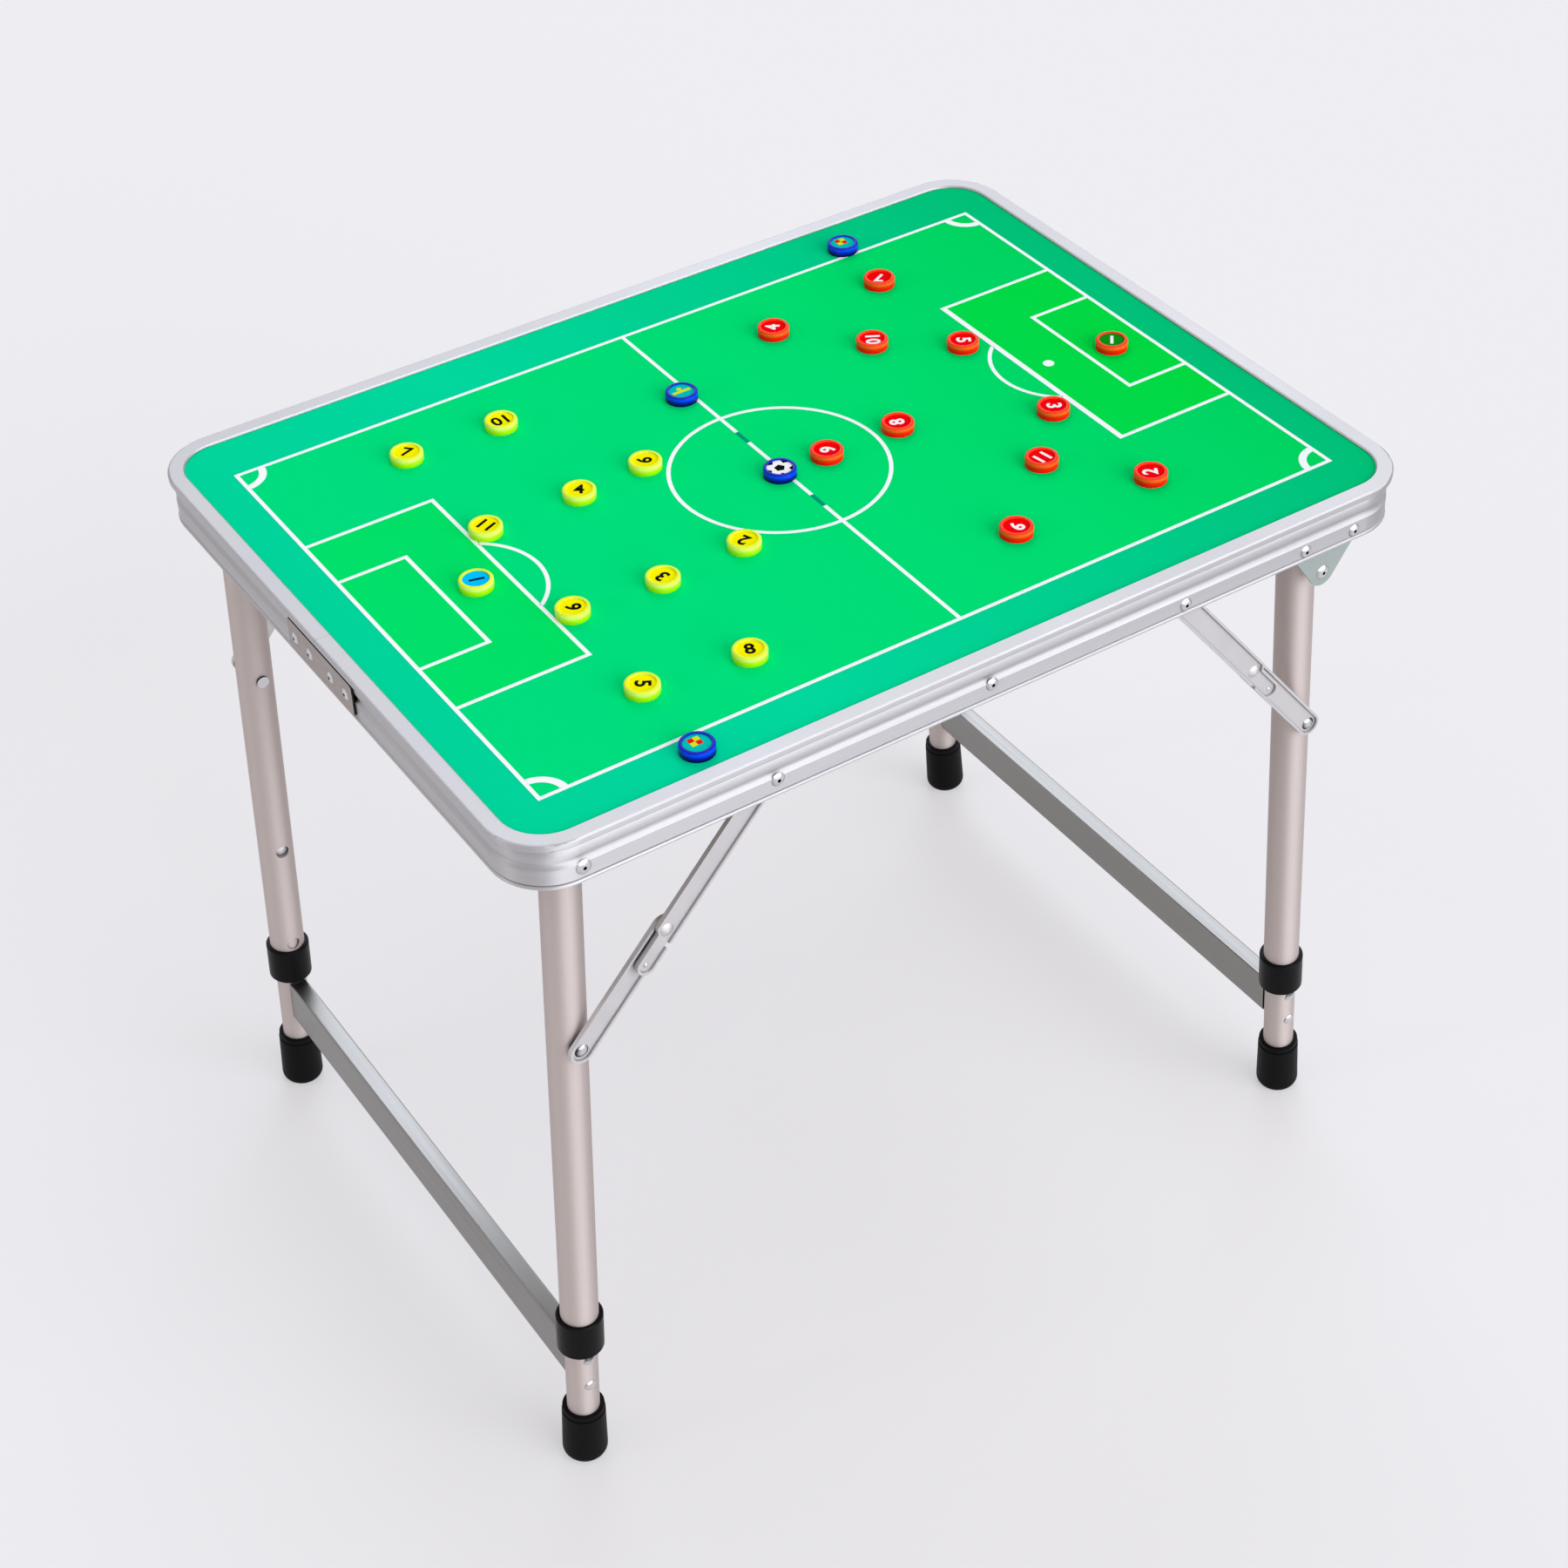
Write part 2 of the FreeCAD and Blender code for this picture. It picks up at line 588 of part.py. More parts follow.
def make_anchor_rivets():
    """Shouldered rivets on which the frame links hang from the skirt."""
    rivets = []
    for leg in LEG_SETS.values():
        x, z = anchor(leg)
        shoulder_end = -FRAME_LINK_Y - LINK_THICKNESS - RUNNING_CLEARANCE
        collars = [(SHOULDER_RADIUS, -WALL_Y, shoulder_end)]
        head = (LINK_HEAD_RADIUS, RIVET_HEAD_HEIGHT)
        rivets += near_and_far(rivet(x, z, -BAND_Y, head, LINK_PIN, -FRAME_LINK_Y, collars, blind=True))
    return rivets


def make_upper_tubes(leg):
    """Upper tubes with holes for the pivot, the brace rivet and the two height settings."""
    length = leg_length(leg)
    bottom = COLLAR_LEVEL + COLLAR_LIP - length
    tube = pipe(UPPER_TUBE_RADIUS, UPPER_BORE, bottom, TUBE_TOP)
    outside = -LEG_FACE_Y
    inside = -LEG_INNER_Y
    cuts = [
        rod(PIVOT_RADIUS + RUNNING_CLEARANCE, 0, 0, outside, inside),
        rod(LINK_PIN + HOLE_CLEARANCE, 0, -brace_drop(leg), outside, inside),
    ]
    for setting in (UPPER_SETTING, LOWER_SETTING):
        cuts.append(rod(SETTING_HOLE_RADIUS, 0, setting - length, -LEG_Y, inside))
    return near_and_far(tube.cut(cuts))


def make_plugs():
    """Plastic plugs that close the top of the upper tubes round the pivot."""
    fit = UPPER_BORE - PLUG_CLEARANCE
    low = TUBE_TOP - PLUG_LENGTH
    top = TUBE_TOP + CAP_THICKNESS
    quarter = CAP_ROUND * (1 - math.sqrt(0.5))

    def at(radius, level):
        return Vector(radius, -LEG_Y, level)
    plug = turned([
        at(0, low),
        at(fit, low),
        at(fit, TUBE_TOP),
        at(UPPER_TUBE_RADIUS, TUBE_TOP),
        at(UPPER_TUBE_RADIUS, top - CAP_ROUND),
        (at(UPPER_TUBE_RADIUS - quarter, top - quarter), at(UPPER_TUBE_RADIUS - CAP_ROUND, top)),
        at(0, top),
    ], Vector(0, -LEG_Y, 0), UP)
    return near_and_far(plug.cut(rod(PIVOT_RADIUS + RUNNING_CLEARANCE, 0, 0, -LEG_FACE_Y, -LEG_INNER_Y)))


def make_collars(leg):
    """Sleeves pushed over the lower end of the upper tubes, closed in to the lower tube by a lip."""
    low = COLLAR_LEVEL - leg_length(leg)
    high = low + COLLAR_HEIGHT
    seat = low + COLLAR_LIP

    def at(radius, level):
        return Vector(radius, -LEG_Y, level)
    steps = [
        at(LOWER_TUBE_RADIUS + COLLAR_CLEARANCE, seat),
        at(LOWER_TUBE_RADIUS + COLLAR_CLEARANCE, low),
        at(COLLAR_RADIUS - COLLAR_TAPER, low),
        at(COLLAR_RADIUS, low + COLLAR_TAPER),
        at(COLLAR_RADIUS, high - COLLAR_BEVEL),
        at(COLLAR_RADIUS - COLLAR_BEVEL, high),
        at(COLLAR_BORE, high),
        at(COLLAR_BORE, seat),
    ]
    return near_and_far(turned(steps, Vector(0, -LEG_Y, 0), UP))


def make_brace_rivets(leg):
    """Shouldered rivets through the upper tubes, on which the leg links turn."""
    head_seat = -LEG_LINK_Y - LINK_THICKNESS - RUNNING_CLEARANCE
    end = -LEG_INNER_Y + RIVET_HEAD_HEIGHT
    collars = [
        (SHOULDER_RADIUS, -LEG_LINK_Y, -LEG_FACE_Y),
        (RIVET_HEAD_RADIUS, -LEG_INNER_Y, end),
    ]
    head = (LINK_HEAD_RADIUS, LINK_EDGE)
    return near_and_far(rivet(0, -brace_drop(leg), head_seat, head, LINK_PIN, end, collars))


def crossbar_middle(leg):
    """Level of the crossbar's middle below the pivot."""
    return CROSSBAR_LEVEL + CROSSBAR_HEIGHT / 2 - leg_length(leg)


def crossbar_rivet_levels(leg):
    """Both rivets at each end of the crossbar."""
    middle = crossbar_middle(leg)
    offset = CROSSBAR_HEIGHT / 2 - CROSSBAR_RIVET_EDGE
    return middle - offset, middle + offset


def button_level(leg):
    """Level of the sprung button below the pivot, with the legs pushed in."""
    return UPPER_SETTING - leg_length(leg)


def lower_tube_top():
    """Top of all four lower tubes, which are one length, above the floor and clear of the brace rivets."""
    lowest = min(leg_length(leg) - brace_drop(leg) for leg in LEG_SETS.values())
    return lowest - LINK_PIN - LOWER_TUBE_GAP


def make_lower_tubes(leg):
    """Lower tubes with holes for the crossbar rivets and the sprung button."""
    length = leg_length(leg)
    tube = pipe(LOWER_TUBE_RADIUS, LOWER_BORE, FOOT_SOLE - length, lower_tube_top() - length)
    outside = -LEG_Y - LOWER_TUBE_RADIUS
    inside = -LEG_Y + LOWER_TUBE_RADIUS
    hole = CROSSBAR_SHANK + HOLE_CLEARANCE
    cuts = [rod(hole, 0, level, outside, inside) for level in crossbar_rivet_levels(leg)]
    cuts.append(rod(BUTTON_RADIUS + HOLE_CLEARANCE, 0, button_level(leg), -LEG_Y, inside))
    return near_and_far(tube.cut(cuts))


def make_crossbar(leg):
    """Flat tube between the lower tubes, its ends closed by the plates that take the rivets."""
    half = LEG_Y - LOWER_TUBE_RADIUS - SEAT_GAP
    middle = crossbar_middle(leg)

    def block(depth, height, reach, corner):
        box = Part.makeBox(depth, 2 * reach, height, Vector(-depth / 2, -reach, middle - height / 2))
        return box.makeFillet(corner, edges_along(box, ACROSS))
    bar = block(CROSSBAR_DEPTH, CROSSBAR_HEIGHT, half, CROSSBAR_CORNER)
    hollow_depth = CROSSBAR_DEPTH - 2 * CROSSBAR_WALL
    hollow_height = CROSSBAR_HEIGHT - 2 * CROSSBAR_WALL
    hollow = block(hollow_depth, hollow_height, half - CROSSBAR_END, CROSSBAR_CORNER / 2)
    hole = CROSSBAR_SHANK + HOLE_CLEARANCE
    holes = [rod(hole, 0, level, -half, half) for level in crossbar_rivet_levels(leg)]
    return [bar.cut([hollow] + holes)]


def make_crossbar_rivets(leg):
    """Long rivets through the lower tubes into the crossbar's ends."""
    seat = -LEG_Y - LOWER_TUBE_RADIUS
    end = -LEG_Y + LOWER_TUBE_RADIUS + CROSSBAR_END + RIVET_TAIL
    head = (CROSSBAR_HEAD_RADIUS, CROSSBAR_HEAD_HEIGHT)
    rivets = []
    for level in crossbar_rivet_levels(leg):
        rivets += near_and_far(rivet(0, level, seat, head, CROSSBAR_SHANK, end))
    return rivets


def make_feet(leg):
    """Rubber caps with a rounded sole that reaches below the floor, to be cut flat there."""
    low = -leg_length(leg) - FOOT_RADIUS * math.tan(math.radians(leg["splay"]))
    floor = -leg_length(leg)
    bead = floor + FOOT_HEIGHT - FOOT_BEAD
    bead_radius = FOOT_RADIUS - FOOT_TAPER
    quarter = FOOT_ROUND * (1 - math.sqrt(0.5))

    def at(radius, level):
        return Vector(radius, -LEG_Y, level)
    steps = [
        at(0, low),
        at(FOOT_RADIUS - FOOT_ROUND, low),
        (at(FOOT_RADIUS - quarter, low + quarter), at(FOOT_RADIUS, low + FOOT_ROUND)),
        at(bead_radius, bead),
        at(bead_radius - FOOT_BEAD_DEPTH, bead),
        at(bead_radius - FOOT_BEAD_DEPTH, floor + FOOT_HEIGHT),
        at(FOOT_BORE, floor + FOOT_HEIGHT),
        at(FOOT_BORE, floor + FOOT_SOLE),
        at(0, floor + FOOT_SOLE),
    ]
    return near_and_far(turned(steps, Vector(0, -LEG_Y, 0), UP))


def chord_depth(half_width):
    """How far from a lower tube's axis a flat piece of this half width meets the bore."""
    return math.sqrt(LOWER_BORE ** 2 - half_width ** 2)


def make_buttons(leg):
    """Sprung height buttons, pressed in by the upper tube, each on its V spring."""
    level = button_level(leg)
    tip = LOWER_TUBE_RADIUS
    flange_face = chord_depth(BUTTON_FLANGE_RADIUS) - BUTTON_TRAVEL - SEAT_GAP
    flange_back = flange_face - BUTTON_FLANGE_THICKNESS
    middle, drop = dome(BUTTON_RADIUS, BUTTON_NOSE)[1]

    def at(radius, reach):
        return Vector(radius, reach - LEG_Y, level)
    steps = [
        at(0, flange_back),
        at(BUTTON_FLANGE_RADIUS, flange_back),
        at(BUTTON_FLANGE_RADIUS, flange_face),
        at(BUTTON_RADIUS, flange_face),
        at(BUTTON_RADIUS, tip - BUTTON_NOSE),
        (at(middle, tip - drop), at(0, tip)),
    ]
    button = turned(steps, Vector(0, 0, level), ACROSS)
    back = flange_back - SPRING_THICKNESS
    bend = level - SPRING_LENGTH

    def leaf(reach, height):
        return Vector(-SPRING_WIDTH / 2, reach - LEG_Y, height)
    far_leaf = SEAT_GAP - chord_depth(SPRING_WIDTH / 2)
    steps = [
        leaf(flange_back, level + BUTTON_FLANGE_RADIUS),
        leaf(flange_back, level - BUTTON_FLANGE_RADIUS),
        leaf(SPRING_BEND, bend),
        (leaf(0, bend - SPRING_BEND), leaf(-SPRING_BEND, bend)),
        leaf(far_leaf, level),
        leaf(far_leaf + SPRING_THICKNESS, level),
        leaf(-SPRING_BEND + SPRING_THICKNESS, bend),
        (leaf(0, bend - SPRING_BEND + SPRING_THICKNESS), leaf(SPRING_BEND - SPRING_THICKNESS, bend)),
        leaf(back, level - BUTTON_FLANGE_RADIUS),
        leaf(back, level + BUTTON_FLANGE_RADIUS),
    ]
    spring = outline(steps).extrude(Vector(SPRING_WIDTH, 0, 0))
    return near_and_far(joined([button, spring]))


def link_plate(length, tab, y, middle_hole, boss):
    """Pressed link along +X from its first pivot: flat base, raised edges outwards, round ends.

    tab is how far it runs past the second pivot; a stop tab is narrowed along its lower edge, notched in its
    upper one and dimpled near its end.
    """
    half = LINK_WIDTH / 2
    end = length + tab
    lower = half
    is_stop = tab > half
    if is_stop:
        lower = STOP_TAB_WIDTH - half
    round_end = (half + lower) / 2
    mid_end = (half - lower) / 2

    def contour(inset, depth):
        def at(x, z):
            return Vector(x, -y, z)
        steps = [at(0, half - inset), (at(inset - half, 0), at(0, inset - half))]
        if is_stop:
            step_x = length + STOP_TAB_START
            steps += [at(step_x, inset - half), at(step_x + half - lower, inset - lower)]
        nose = end - round_end
        steps += [
            at(nose, inset - lower),
            (at(end - inset, mid_end), at(nose, half - inset)),
        ]
        return outline(steps).extrude(Vector(0, -depth, 0))
    plate = contour(0, LINK_THICKNESS + LINK_EDGE)
    tray = contour(LINK_EDGE, LINK_EDGE)
    tray.translate(Vector(0, -LINK_THICKNESS, 0))
    link = plate.cut(tray)
    floor = -y - LINK_THICKNESS
    holes = [rod(LINK_PIN + RUNNING_CLEARANCE, 0, 0, floor, -y)]
    if middle_hole:
        holes.append(rod(LINK_PIN + HOLE_CLEARANCE, length, 0, floor, -y))
    if is_stop:
        holes.append(rod(STOP_NOTCH_RADIUS, length + STOP_NOTCH, half, floor - LINK_EDGE, -y))
    link = link.cut(holes)
    if is_stop:
        dimple = (DIMPLE_RADIUS, DIMPLE_HEIGHT)
        link = joined([link, rivet(end - round_end, mid_end, floor, dimple, DIMPLE_RADIUS / 2, -y)])
    if boss:
        stand = LINK_EDGE + LINK_GAP / 2
        link = joined([link, rod(SHOULDER_RADIUS, length, 0, floor - stand, floor)])
    return link


def brace_angle(leg):
    """Direction of the straight brace, from the rim to the leg, in degrees above +X."""
    x, z = anchor(leg)
    pivot_x, pivot_z = leg_pivot(leg)
    splay = math.radians(leg["splay"])
    drop = brace_drop(leg)
    end_x = pivot_x + leg["side"] * drop * math.sin(splay)
    end_z = pivot_z - drop * math.cos(splay)
    return math.degrees(math.atan2(end_z - z, end_x - x))


def laid_along(shape, leg, start, reverse):
    """Turn a link made along +X to the line of the brace, from its own first pivot."""
    placed = shape.copy()
    angle = brace_angle(leg) + (180 if reverse else 0)
    placed.rotate(ORIGIN, ACROSS, -angle)
    placed.translate(Vector(start[0], 0, start[1]))
    return placed


def make_frame_links(leg):
    """Links from the rim to the middle pivot, with the stop tab, and the rivets of the middle pivot."""
    link = link_plate(FRAME_LINK, STOP_TAB, FRAME_LINK_Y, True, False)
    if leg["side"] > 0:
        link = link.mirror(ORIGIN, UP)
    head = (LINK_HEAD_RADIUS, LINK_EDGE)
    pin = rivet(FRAME_LINK, 0, -FRAME_LINK_Y - LINK_THICKNESS, head, LINK_PIN, -FRAME_LINK_Y)
    pieces = []
    for shape in (link, pin):
        pieces += near_and_far(laid_along(shape, leg, anchor(leg), False))
    return pieces


def make_leg_links(leg):
    """Links from the leg to the middle pivot, where a pressed boss bears on the frame link."""
    link = link_plate(LEG_LINK, LINK_WIDTH / 2, LEG_LINK_Y, False, True)
    x, z = leg_pivot(leg)
    splay = math.radians(leg["splay"])
    drop = brace_drop(leg)
    start = (x + leg["side"] * drop * math.sin(splay), z - drop * math.cos(splay))
    return near_and_far(laid_along(link, leg, start, True))


def make_counter(share_x, share_y):
    """Round counter: a cup with a rim round its face, and a magnet in its base."""
    x = share_x * (BOARD_LENGTH / 2 - LIP_WIDTH)
    y = share_y * (BOARD_WIDTH / 2 - LIP_WIDTH)

    def at(radius, level):
        return Vector(x + radius, y, BOARD_HEIGHT + level)
    pocket = MAGNET_THICKNESS + MAGNET_LIFT
    face = COUNTER_HEIGHT - COUNTER_RECESS
    inner = COUNTER_RADIUS - COUNTER_RIM
    quarter = COUNTER_ROUND * (1 - math.sqrt(0.5))
    crown = COUNTER_RADIUS - COUNTER_ROUND
    cup = turned([
        at(0, pocket),
        at(MAGNET_RADIUS + MAGNET_CLEARANCE, pocket),
        at(MAGNET_RADIUS + MAGNET_CLEARANCE, 0),
        at(COUNTER_RADIUS, 0),
        at(COUNTER_RADIUS, COUNTER_HEIGHT - COUNTER_ROUND),
        (at(COUNTER_RADIUS - quarter, COUNTER_HEIGHT - quarter), at(crown, COUNTER_HEIGHT)),
        at(inner, COUNTER_HEIGHT),
        at(inner, face),
        at(0, face),
    ], Vector(x, y, 0), UP)
    magnet = Part.makeCylinder(MAGNET_RADIUS, MAGNET_THICKNESS, at(0, MAGNET_LIFT))
    return [cup, magnet]


def build_top():
    """Table top: rim, panel layers, brackets and everything riveted to the skirt."""
    save("rim_extrusion", [make_rim()])
    save("rim_joiner_plate", [make_joiner()])
    save("rim_rivets", make_rim_rivets())
    edge = WALL_INSET + PANEL_CLEARANCE
    top = BOARD_HEIGHT
    for name, thickness in (
        ("printed_film", FILM_THICKNESS),
        ("steel_sheet", SHEET_THICKNESS),
        ("core_board", CORE_THICKNESS),
    ):
        length = BOARD_LENGTH - 2 * edge
        width = BOARD_WIDTH - 2 * edge
        save(name, [rounded_plate(length, width, CORNER_RADIUS - edge, thickness, top)])
        top -= thickness
    save("right_leg_brackets", make_brackets())
    rivets, bushes = make_leg_pivots()
    save("leg_pivot_rivets", rivets)
    save("leg_pivot_bushes", bushes)
    save("brace_anchor_rivets", make_anchor_rivets())


def build_leg_set(name, leg):
    """One pair of legs: upper tubes, telescopic lower tubes with crossbar, and braces."""
    on_leg = {
        "upper_tubes": make_upper_tubes(leg),
        "tube_plugs": make_plugs(),
        "collars": make_collars(leg),
        "brace_leg_rivets": make_brace_rivets(leg),
        "lower_tubes": make_lower_tubes(leg),
        "crossbar": make_crossbar(leg),
        "crossbar_rivets": make_crossbar_rivets(leg),
    }
    for piece, shapes in on_leg.items():
        save(name + "_" + piece, [stood(shape, leg) for shape in shapes])
    under_floor = Vector(-BOARD_LENGTH, -BOARD_WIDTH, -FOOT_HEIGHT)
    below_floor = Part.makeBox(2 * BOARD_LENGTH, 2 * BOARD_WIDTH, FOOT_HEIGHT, under_floor)
    save(name + "_feet", [stood(shape, leg).cut(below_floor) for shape in make_feet(leg)])
    near_button, far_button = [stood(shape, leg) for shape in make_buttons(leg)]
    save(name + "_button_near", [near_button])
    save(name + "_button_far", [far_button])
    save(name + "_frame_links", make_frame_links(leg))
    save(name + "_leg_links", make_leg_links(leg))


def build_counters():
    """Two teams of eleven, the officials and the ball."""
    for team, places in (("yellow", YELLOW), ("red", RED)):
        for number, place in places.items():
            save("counter_%s_%02d" % (team, number), make_counter(*place))
    for name, place in OFFICIALS.items():
        save("counter_" + name, make_counter(*place))


def main():
    os.makedirs("parts", exist_ok=True)
    build_top()
    for name, leg in LEG_SETS.items():
        build_leg_set(name, leg)
    build_counters()


main()
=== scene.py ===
"""Looks of a folding tactics board: printed pitch, magnetic counters, aluminium rim and braced legs."""

import math

import bmesh
import bpy
from mathutils import Matrix, Vector


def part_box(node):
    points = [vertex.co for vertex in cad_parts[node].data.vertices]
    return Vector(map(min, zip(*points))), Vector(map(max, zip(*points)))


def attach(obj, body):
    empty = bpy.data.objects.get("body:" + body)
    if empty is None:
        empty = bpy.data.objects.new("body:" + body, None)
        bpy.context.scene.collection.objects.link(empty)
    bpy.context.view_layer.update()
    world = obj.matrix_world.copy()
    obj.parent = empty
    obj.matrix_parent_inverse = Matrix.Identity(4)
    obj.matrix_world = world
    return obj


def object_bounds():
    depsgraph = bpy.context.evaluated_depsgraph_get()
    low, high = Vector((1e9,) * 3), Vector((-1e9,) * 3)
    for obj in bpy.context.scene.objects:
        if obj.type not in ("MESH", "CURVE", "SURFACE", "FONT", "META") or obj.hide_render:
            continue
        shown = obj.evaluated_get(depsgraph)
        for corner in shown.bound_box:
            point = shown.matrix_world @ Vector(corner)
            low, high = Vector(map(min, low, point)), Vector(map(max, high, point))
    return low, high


bl_info = {
    "name": "Tactics board",
    "version": (1, 0, 0),
    "blender": (4, 5, 0),
    "location": "View3D > Sidebar > Tactics board",
    "description": "Dresses a folding tactics board and its magnetic counters",
    "category": "Object",
}

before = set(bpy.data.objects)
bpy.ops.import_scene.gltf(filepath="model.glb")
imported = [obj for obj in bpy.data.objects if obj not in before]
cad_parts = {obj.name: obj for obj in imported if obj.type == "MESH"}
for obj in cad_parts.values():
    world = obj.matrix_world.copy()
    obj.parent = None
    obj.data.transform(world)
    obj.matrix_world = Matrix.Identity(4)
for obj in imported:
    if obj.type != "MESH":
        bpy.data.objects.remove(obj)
CAD_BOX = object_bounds()

MM = 0.001
PRINT_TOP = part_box("printed_film")[1][2]
INK = 0.06 * MM                     # thickness of one printed layer, coarse enough to show as a layer
FACE_DEPTH = 1.0 * MM               # from the rim of a counter down to its face
ARC_STEP = math.radians(5)
FONT_SHARE = 1.4                    # size of the font over the height of its numerals
NOISE = {"From Min": 0.3, "From Max": 0.7}      # nearly all of a noise's values lie between these

# Numeral on each counter, and the direction of its top on the board, in degrees from +X
YELLOW_TURNS = {1: -15, 2: 200, 3: 195, 4: 60, 5: -30, 6: 150, 7: 43, 8: 70, 9: -20, 10: -90, 11: 23}
RED_TURNS = {1: 52, 2: 150, 3: -30, 4: 150, 5: -30, 6: -25, 7: 230, 8: 160, 9: -60, 10: -30, 11: -80}

# Inks of the counters' faces and signs, sRGB hex, each with the slight drift of a print
INKS = {
    "cyan": "00c0f6 00b8f2", "green": "0a9418 0a8c14", "teal": "00c0b0 00b8ac", "black": "141210 181614",
    "white": "f4f2f0 f0eeec", "navy": "10224a 0e1e44", "lime": "dcde20 d4da20", "scarlet": "e42210 dc1e10",
}


class PitchSettings(bpy.types.PropertyGroup):
    """Sizes and inks of the printed pitch."""
    length: bpy.props.FloatProperty(
        name="Length", description="Goal line to goal line", default=0.531, unit="LENGTH")
    width: bpy.props.FloatProperty(
        name="Width", description="Touch line to touch line", default=0.3615, unit="LENGTH")
    offset_x: bpy.props.FloatProperty(
        name="Offset along", description="Middle of the pitch from the middle of the board",
        default=0.00075, unit="LENGTH")
    offset_y: bpy.props.FloatProperty(
        name="Offset across", description="Middle of the pitch from the middle of the board",
        default=-0.0043, unit="LENGTH")
    line: bpy.props.FloatProperty(
        name="Line", description="Width of the lines", default=0.0025, unit="LENGTH")
    heavy_line: bpy.props.FloatProperty(
        name="Heavy line", description="Width of the long line of the right penalty area",
        default=0.0036, unit="LENGTH")
    area_depth: bpy.props.FloatProperty(
        name="Penalty area depth", description="From the goal line", default=0.0826, unit="LENGTH")
    area_width: bpy.props.FloatProperty(
        name="Penalty area width", description="Along the goal line", default=0.1808, unit="LENGTH")
    goal_depth: bpy.props.FloatProperty(
        name="Goal area depth", description="From the goal line", default=0.0435, unit="LENGTH")
    goal_width: bpy.props.FloatProperty(
        name="Goal area width", description="Along the goal line", default=0.0976, unit="LENGTH")
    circle: bpy.props.FloatProperty(
        name="Centre circle", description="Radius of the centre circle", default=0.0655, unit="LENGTH")
    dash: bpy.props.FloatProperty(
        name="Dash", description="Length of the two dashes of the halfway line", default=0.0135, unit="LENGTH")
    dash_place: bpy.props.FloatProperty(
        name="Dash place", description="Distance of a dash's middle from the centre",
        default=0.0405, unit="LENGTH")
    spot: bpy.props.FloatProperty(
        name="Penalty spot", description="Distance of the spot from the goal line",
        default=0.068, unit="LENGTH")
    spot_size: bpy.props.FloatProperty(
        name="Penalty spot size", description="Radius of the spot", default=0.0035, unit="LENGTH")
    arc: bpy.props.FloatProperty(
        name="Penalty arc", description="Radius of the arc in front of a penalty area",
        default=0.045, unit="LENGTH")
    arc_centre: bpy.props.FloatProperty(
        name="Penalty arc centre", description="Distance of its centre from the goal line",
        default=0.057, unit="LENGTH")
    corner: bpy.props.FloatProperty(
        name="Corner arc", description="Radius of the corner arcs", default=0.0155, unit="LENGTH")
    corner_line: bpy.props.FloatProperty(
        name="Corner line", description="Width of the corner arcs", default=0.0046, unit="LENGTH")
    surround: bpy.props.StringProperty(
        name="Surround", description="Ink outside the touch lines, left end to right end, sRGB hex",
        default="02cf94 02d496 01c984 02b96c")
    grass: bpy.props.StringProperty(
        name="Grass", description="Ink of the field, left end to right end, sRGB hex",
        default="01d97c 01da76 01d86a 01cc54")
    area: bpy.props.StringProperty(
        name="Penalty areas", description="Ink of the penalty areas, left end to right end, sRGB hex",
        default="02de6a 02d438")
    white: bpy.props.StringProperty(
        name="Lines", description="Ink of the lines, left end to right end, sRGB hex",
        default="f4f6f4 eef4f2")
    dashes: bpy.props.StringProperty(
        name="Dashes", description="Ink of the two dashes, left end to right end, sRGB hex",
        default="059a78 049070")


class CounterSettings(bpy.types.PropertyGroup):
    """Sizes and colours of the counters."""
    numeral: bpy.props.FloatProperty(
        name="Numeral", description="Height of the numerals", default=0.0088, unit="LENGTH")
    stroke: bpy.props.FloatProperty(
        name="Stroke", description="By how much a numeral's outline is widened", default=0.00035, unit="LENGTH")
    face: bpy.props.FloatProperty(
        name="Face", description="Radius of the printed face", default=0.00785, unit="LENGTH")
    flag: bpy.props.FloatProperty(
        name="Flag", description="Side of one of the four fields of a flag", default=0.0034, unit="LENGTH")
    patch: bpy.props.FloatProperty(
        name="Patch", description="Radius of the ball's middle patch", default=0.0034, unit="LENGTH")
    # Each team's colours run from a darker base up to a pale stop at the shoulder, a painted highlight, and back
    # to the rim's tone at the top.
    yellow: bpy.props.StringProperty(
        name="Yellow", description="Yellow team, base to rim, sRGB hex",
        default="92dc00 a6e600 c8ee24 f0fa86 dcee1c")
    yellow_face: bpy.props.StringProperty(
        name="Yellow face", description="Ink of the yellow team's faces, sRGB hex", default="faf000 f2e800")
    red: bpy.props.StringProperty(
        name="Red", description="Red team, base to rim, sRGB hex",
        default="f80e02 ff1804 ff2806 ff7020 ff2e0a")
    red_face: bpy.props.StringProperty(
        name="Red face", description="Ink of the red team's faces, sRGB hex", default="f20610 ec040a")
    blue: bpy.props.StringProperty(
        name="Blue", description="Officials and ball, base to rim, sRGB hex",
        default="000430 00106a 0226b8 0a4cff 0118a4")


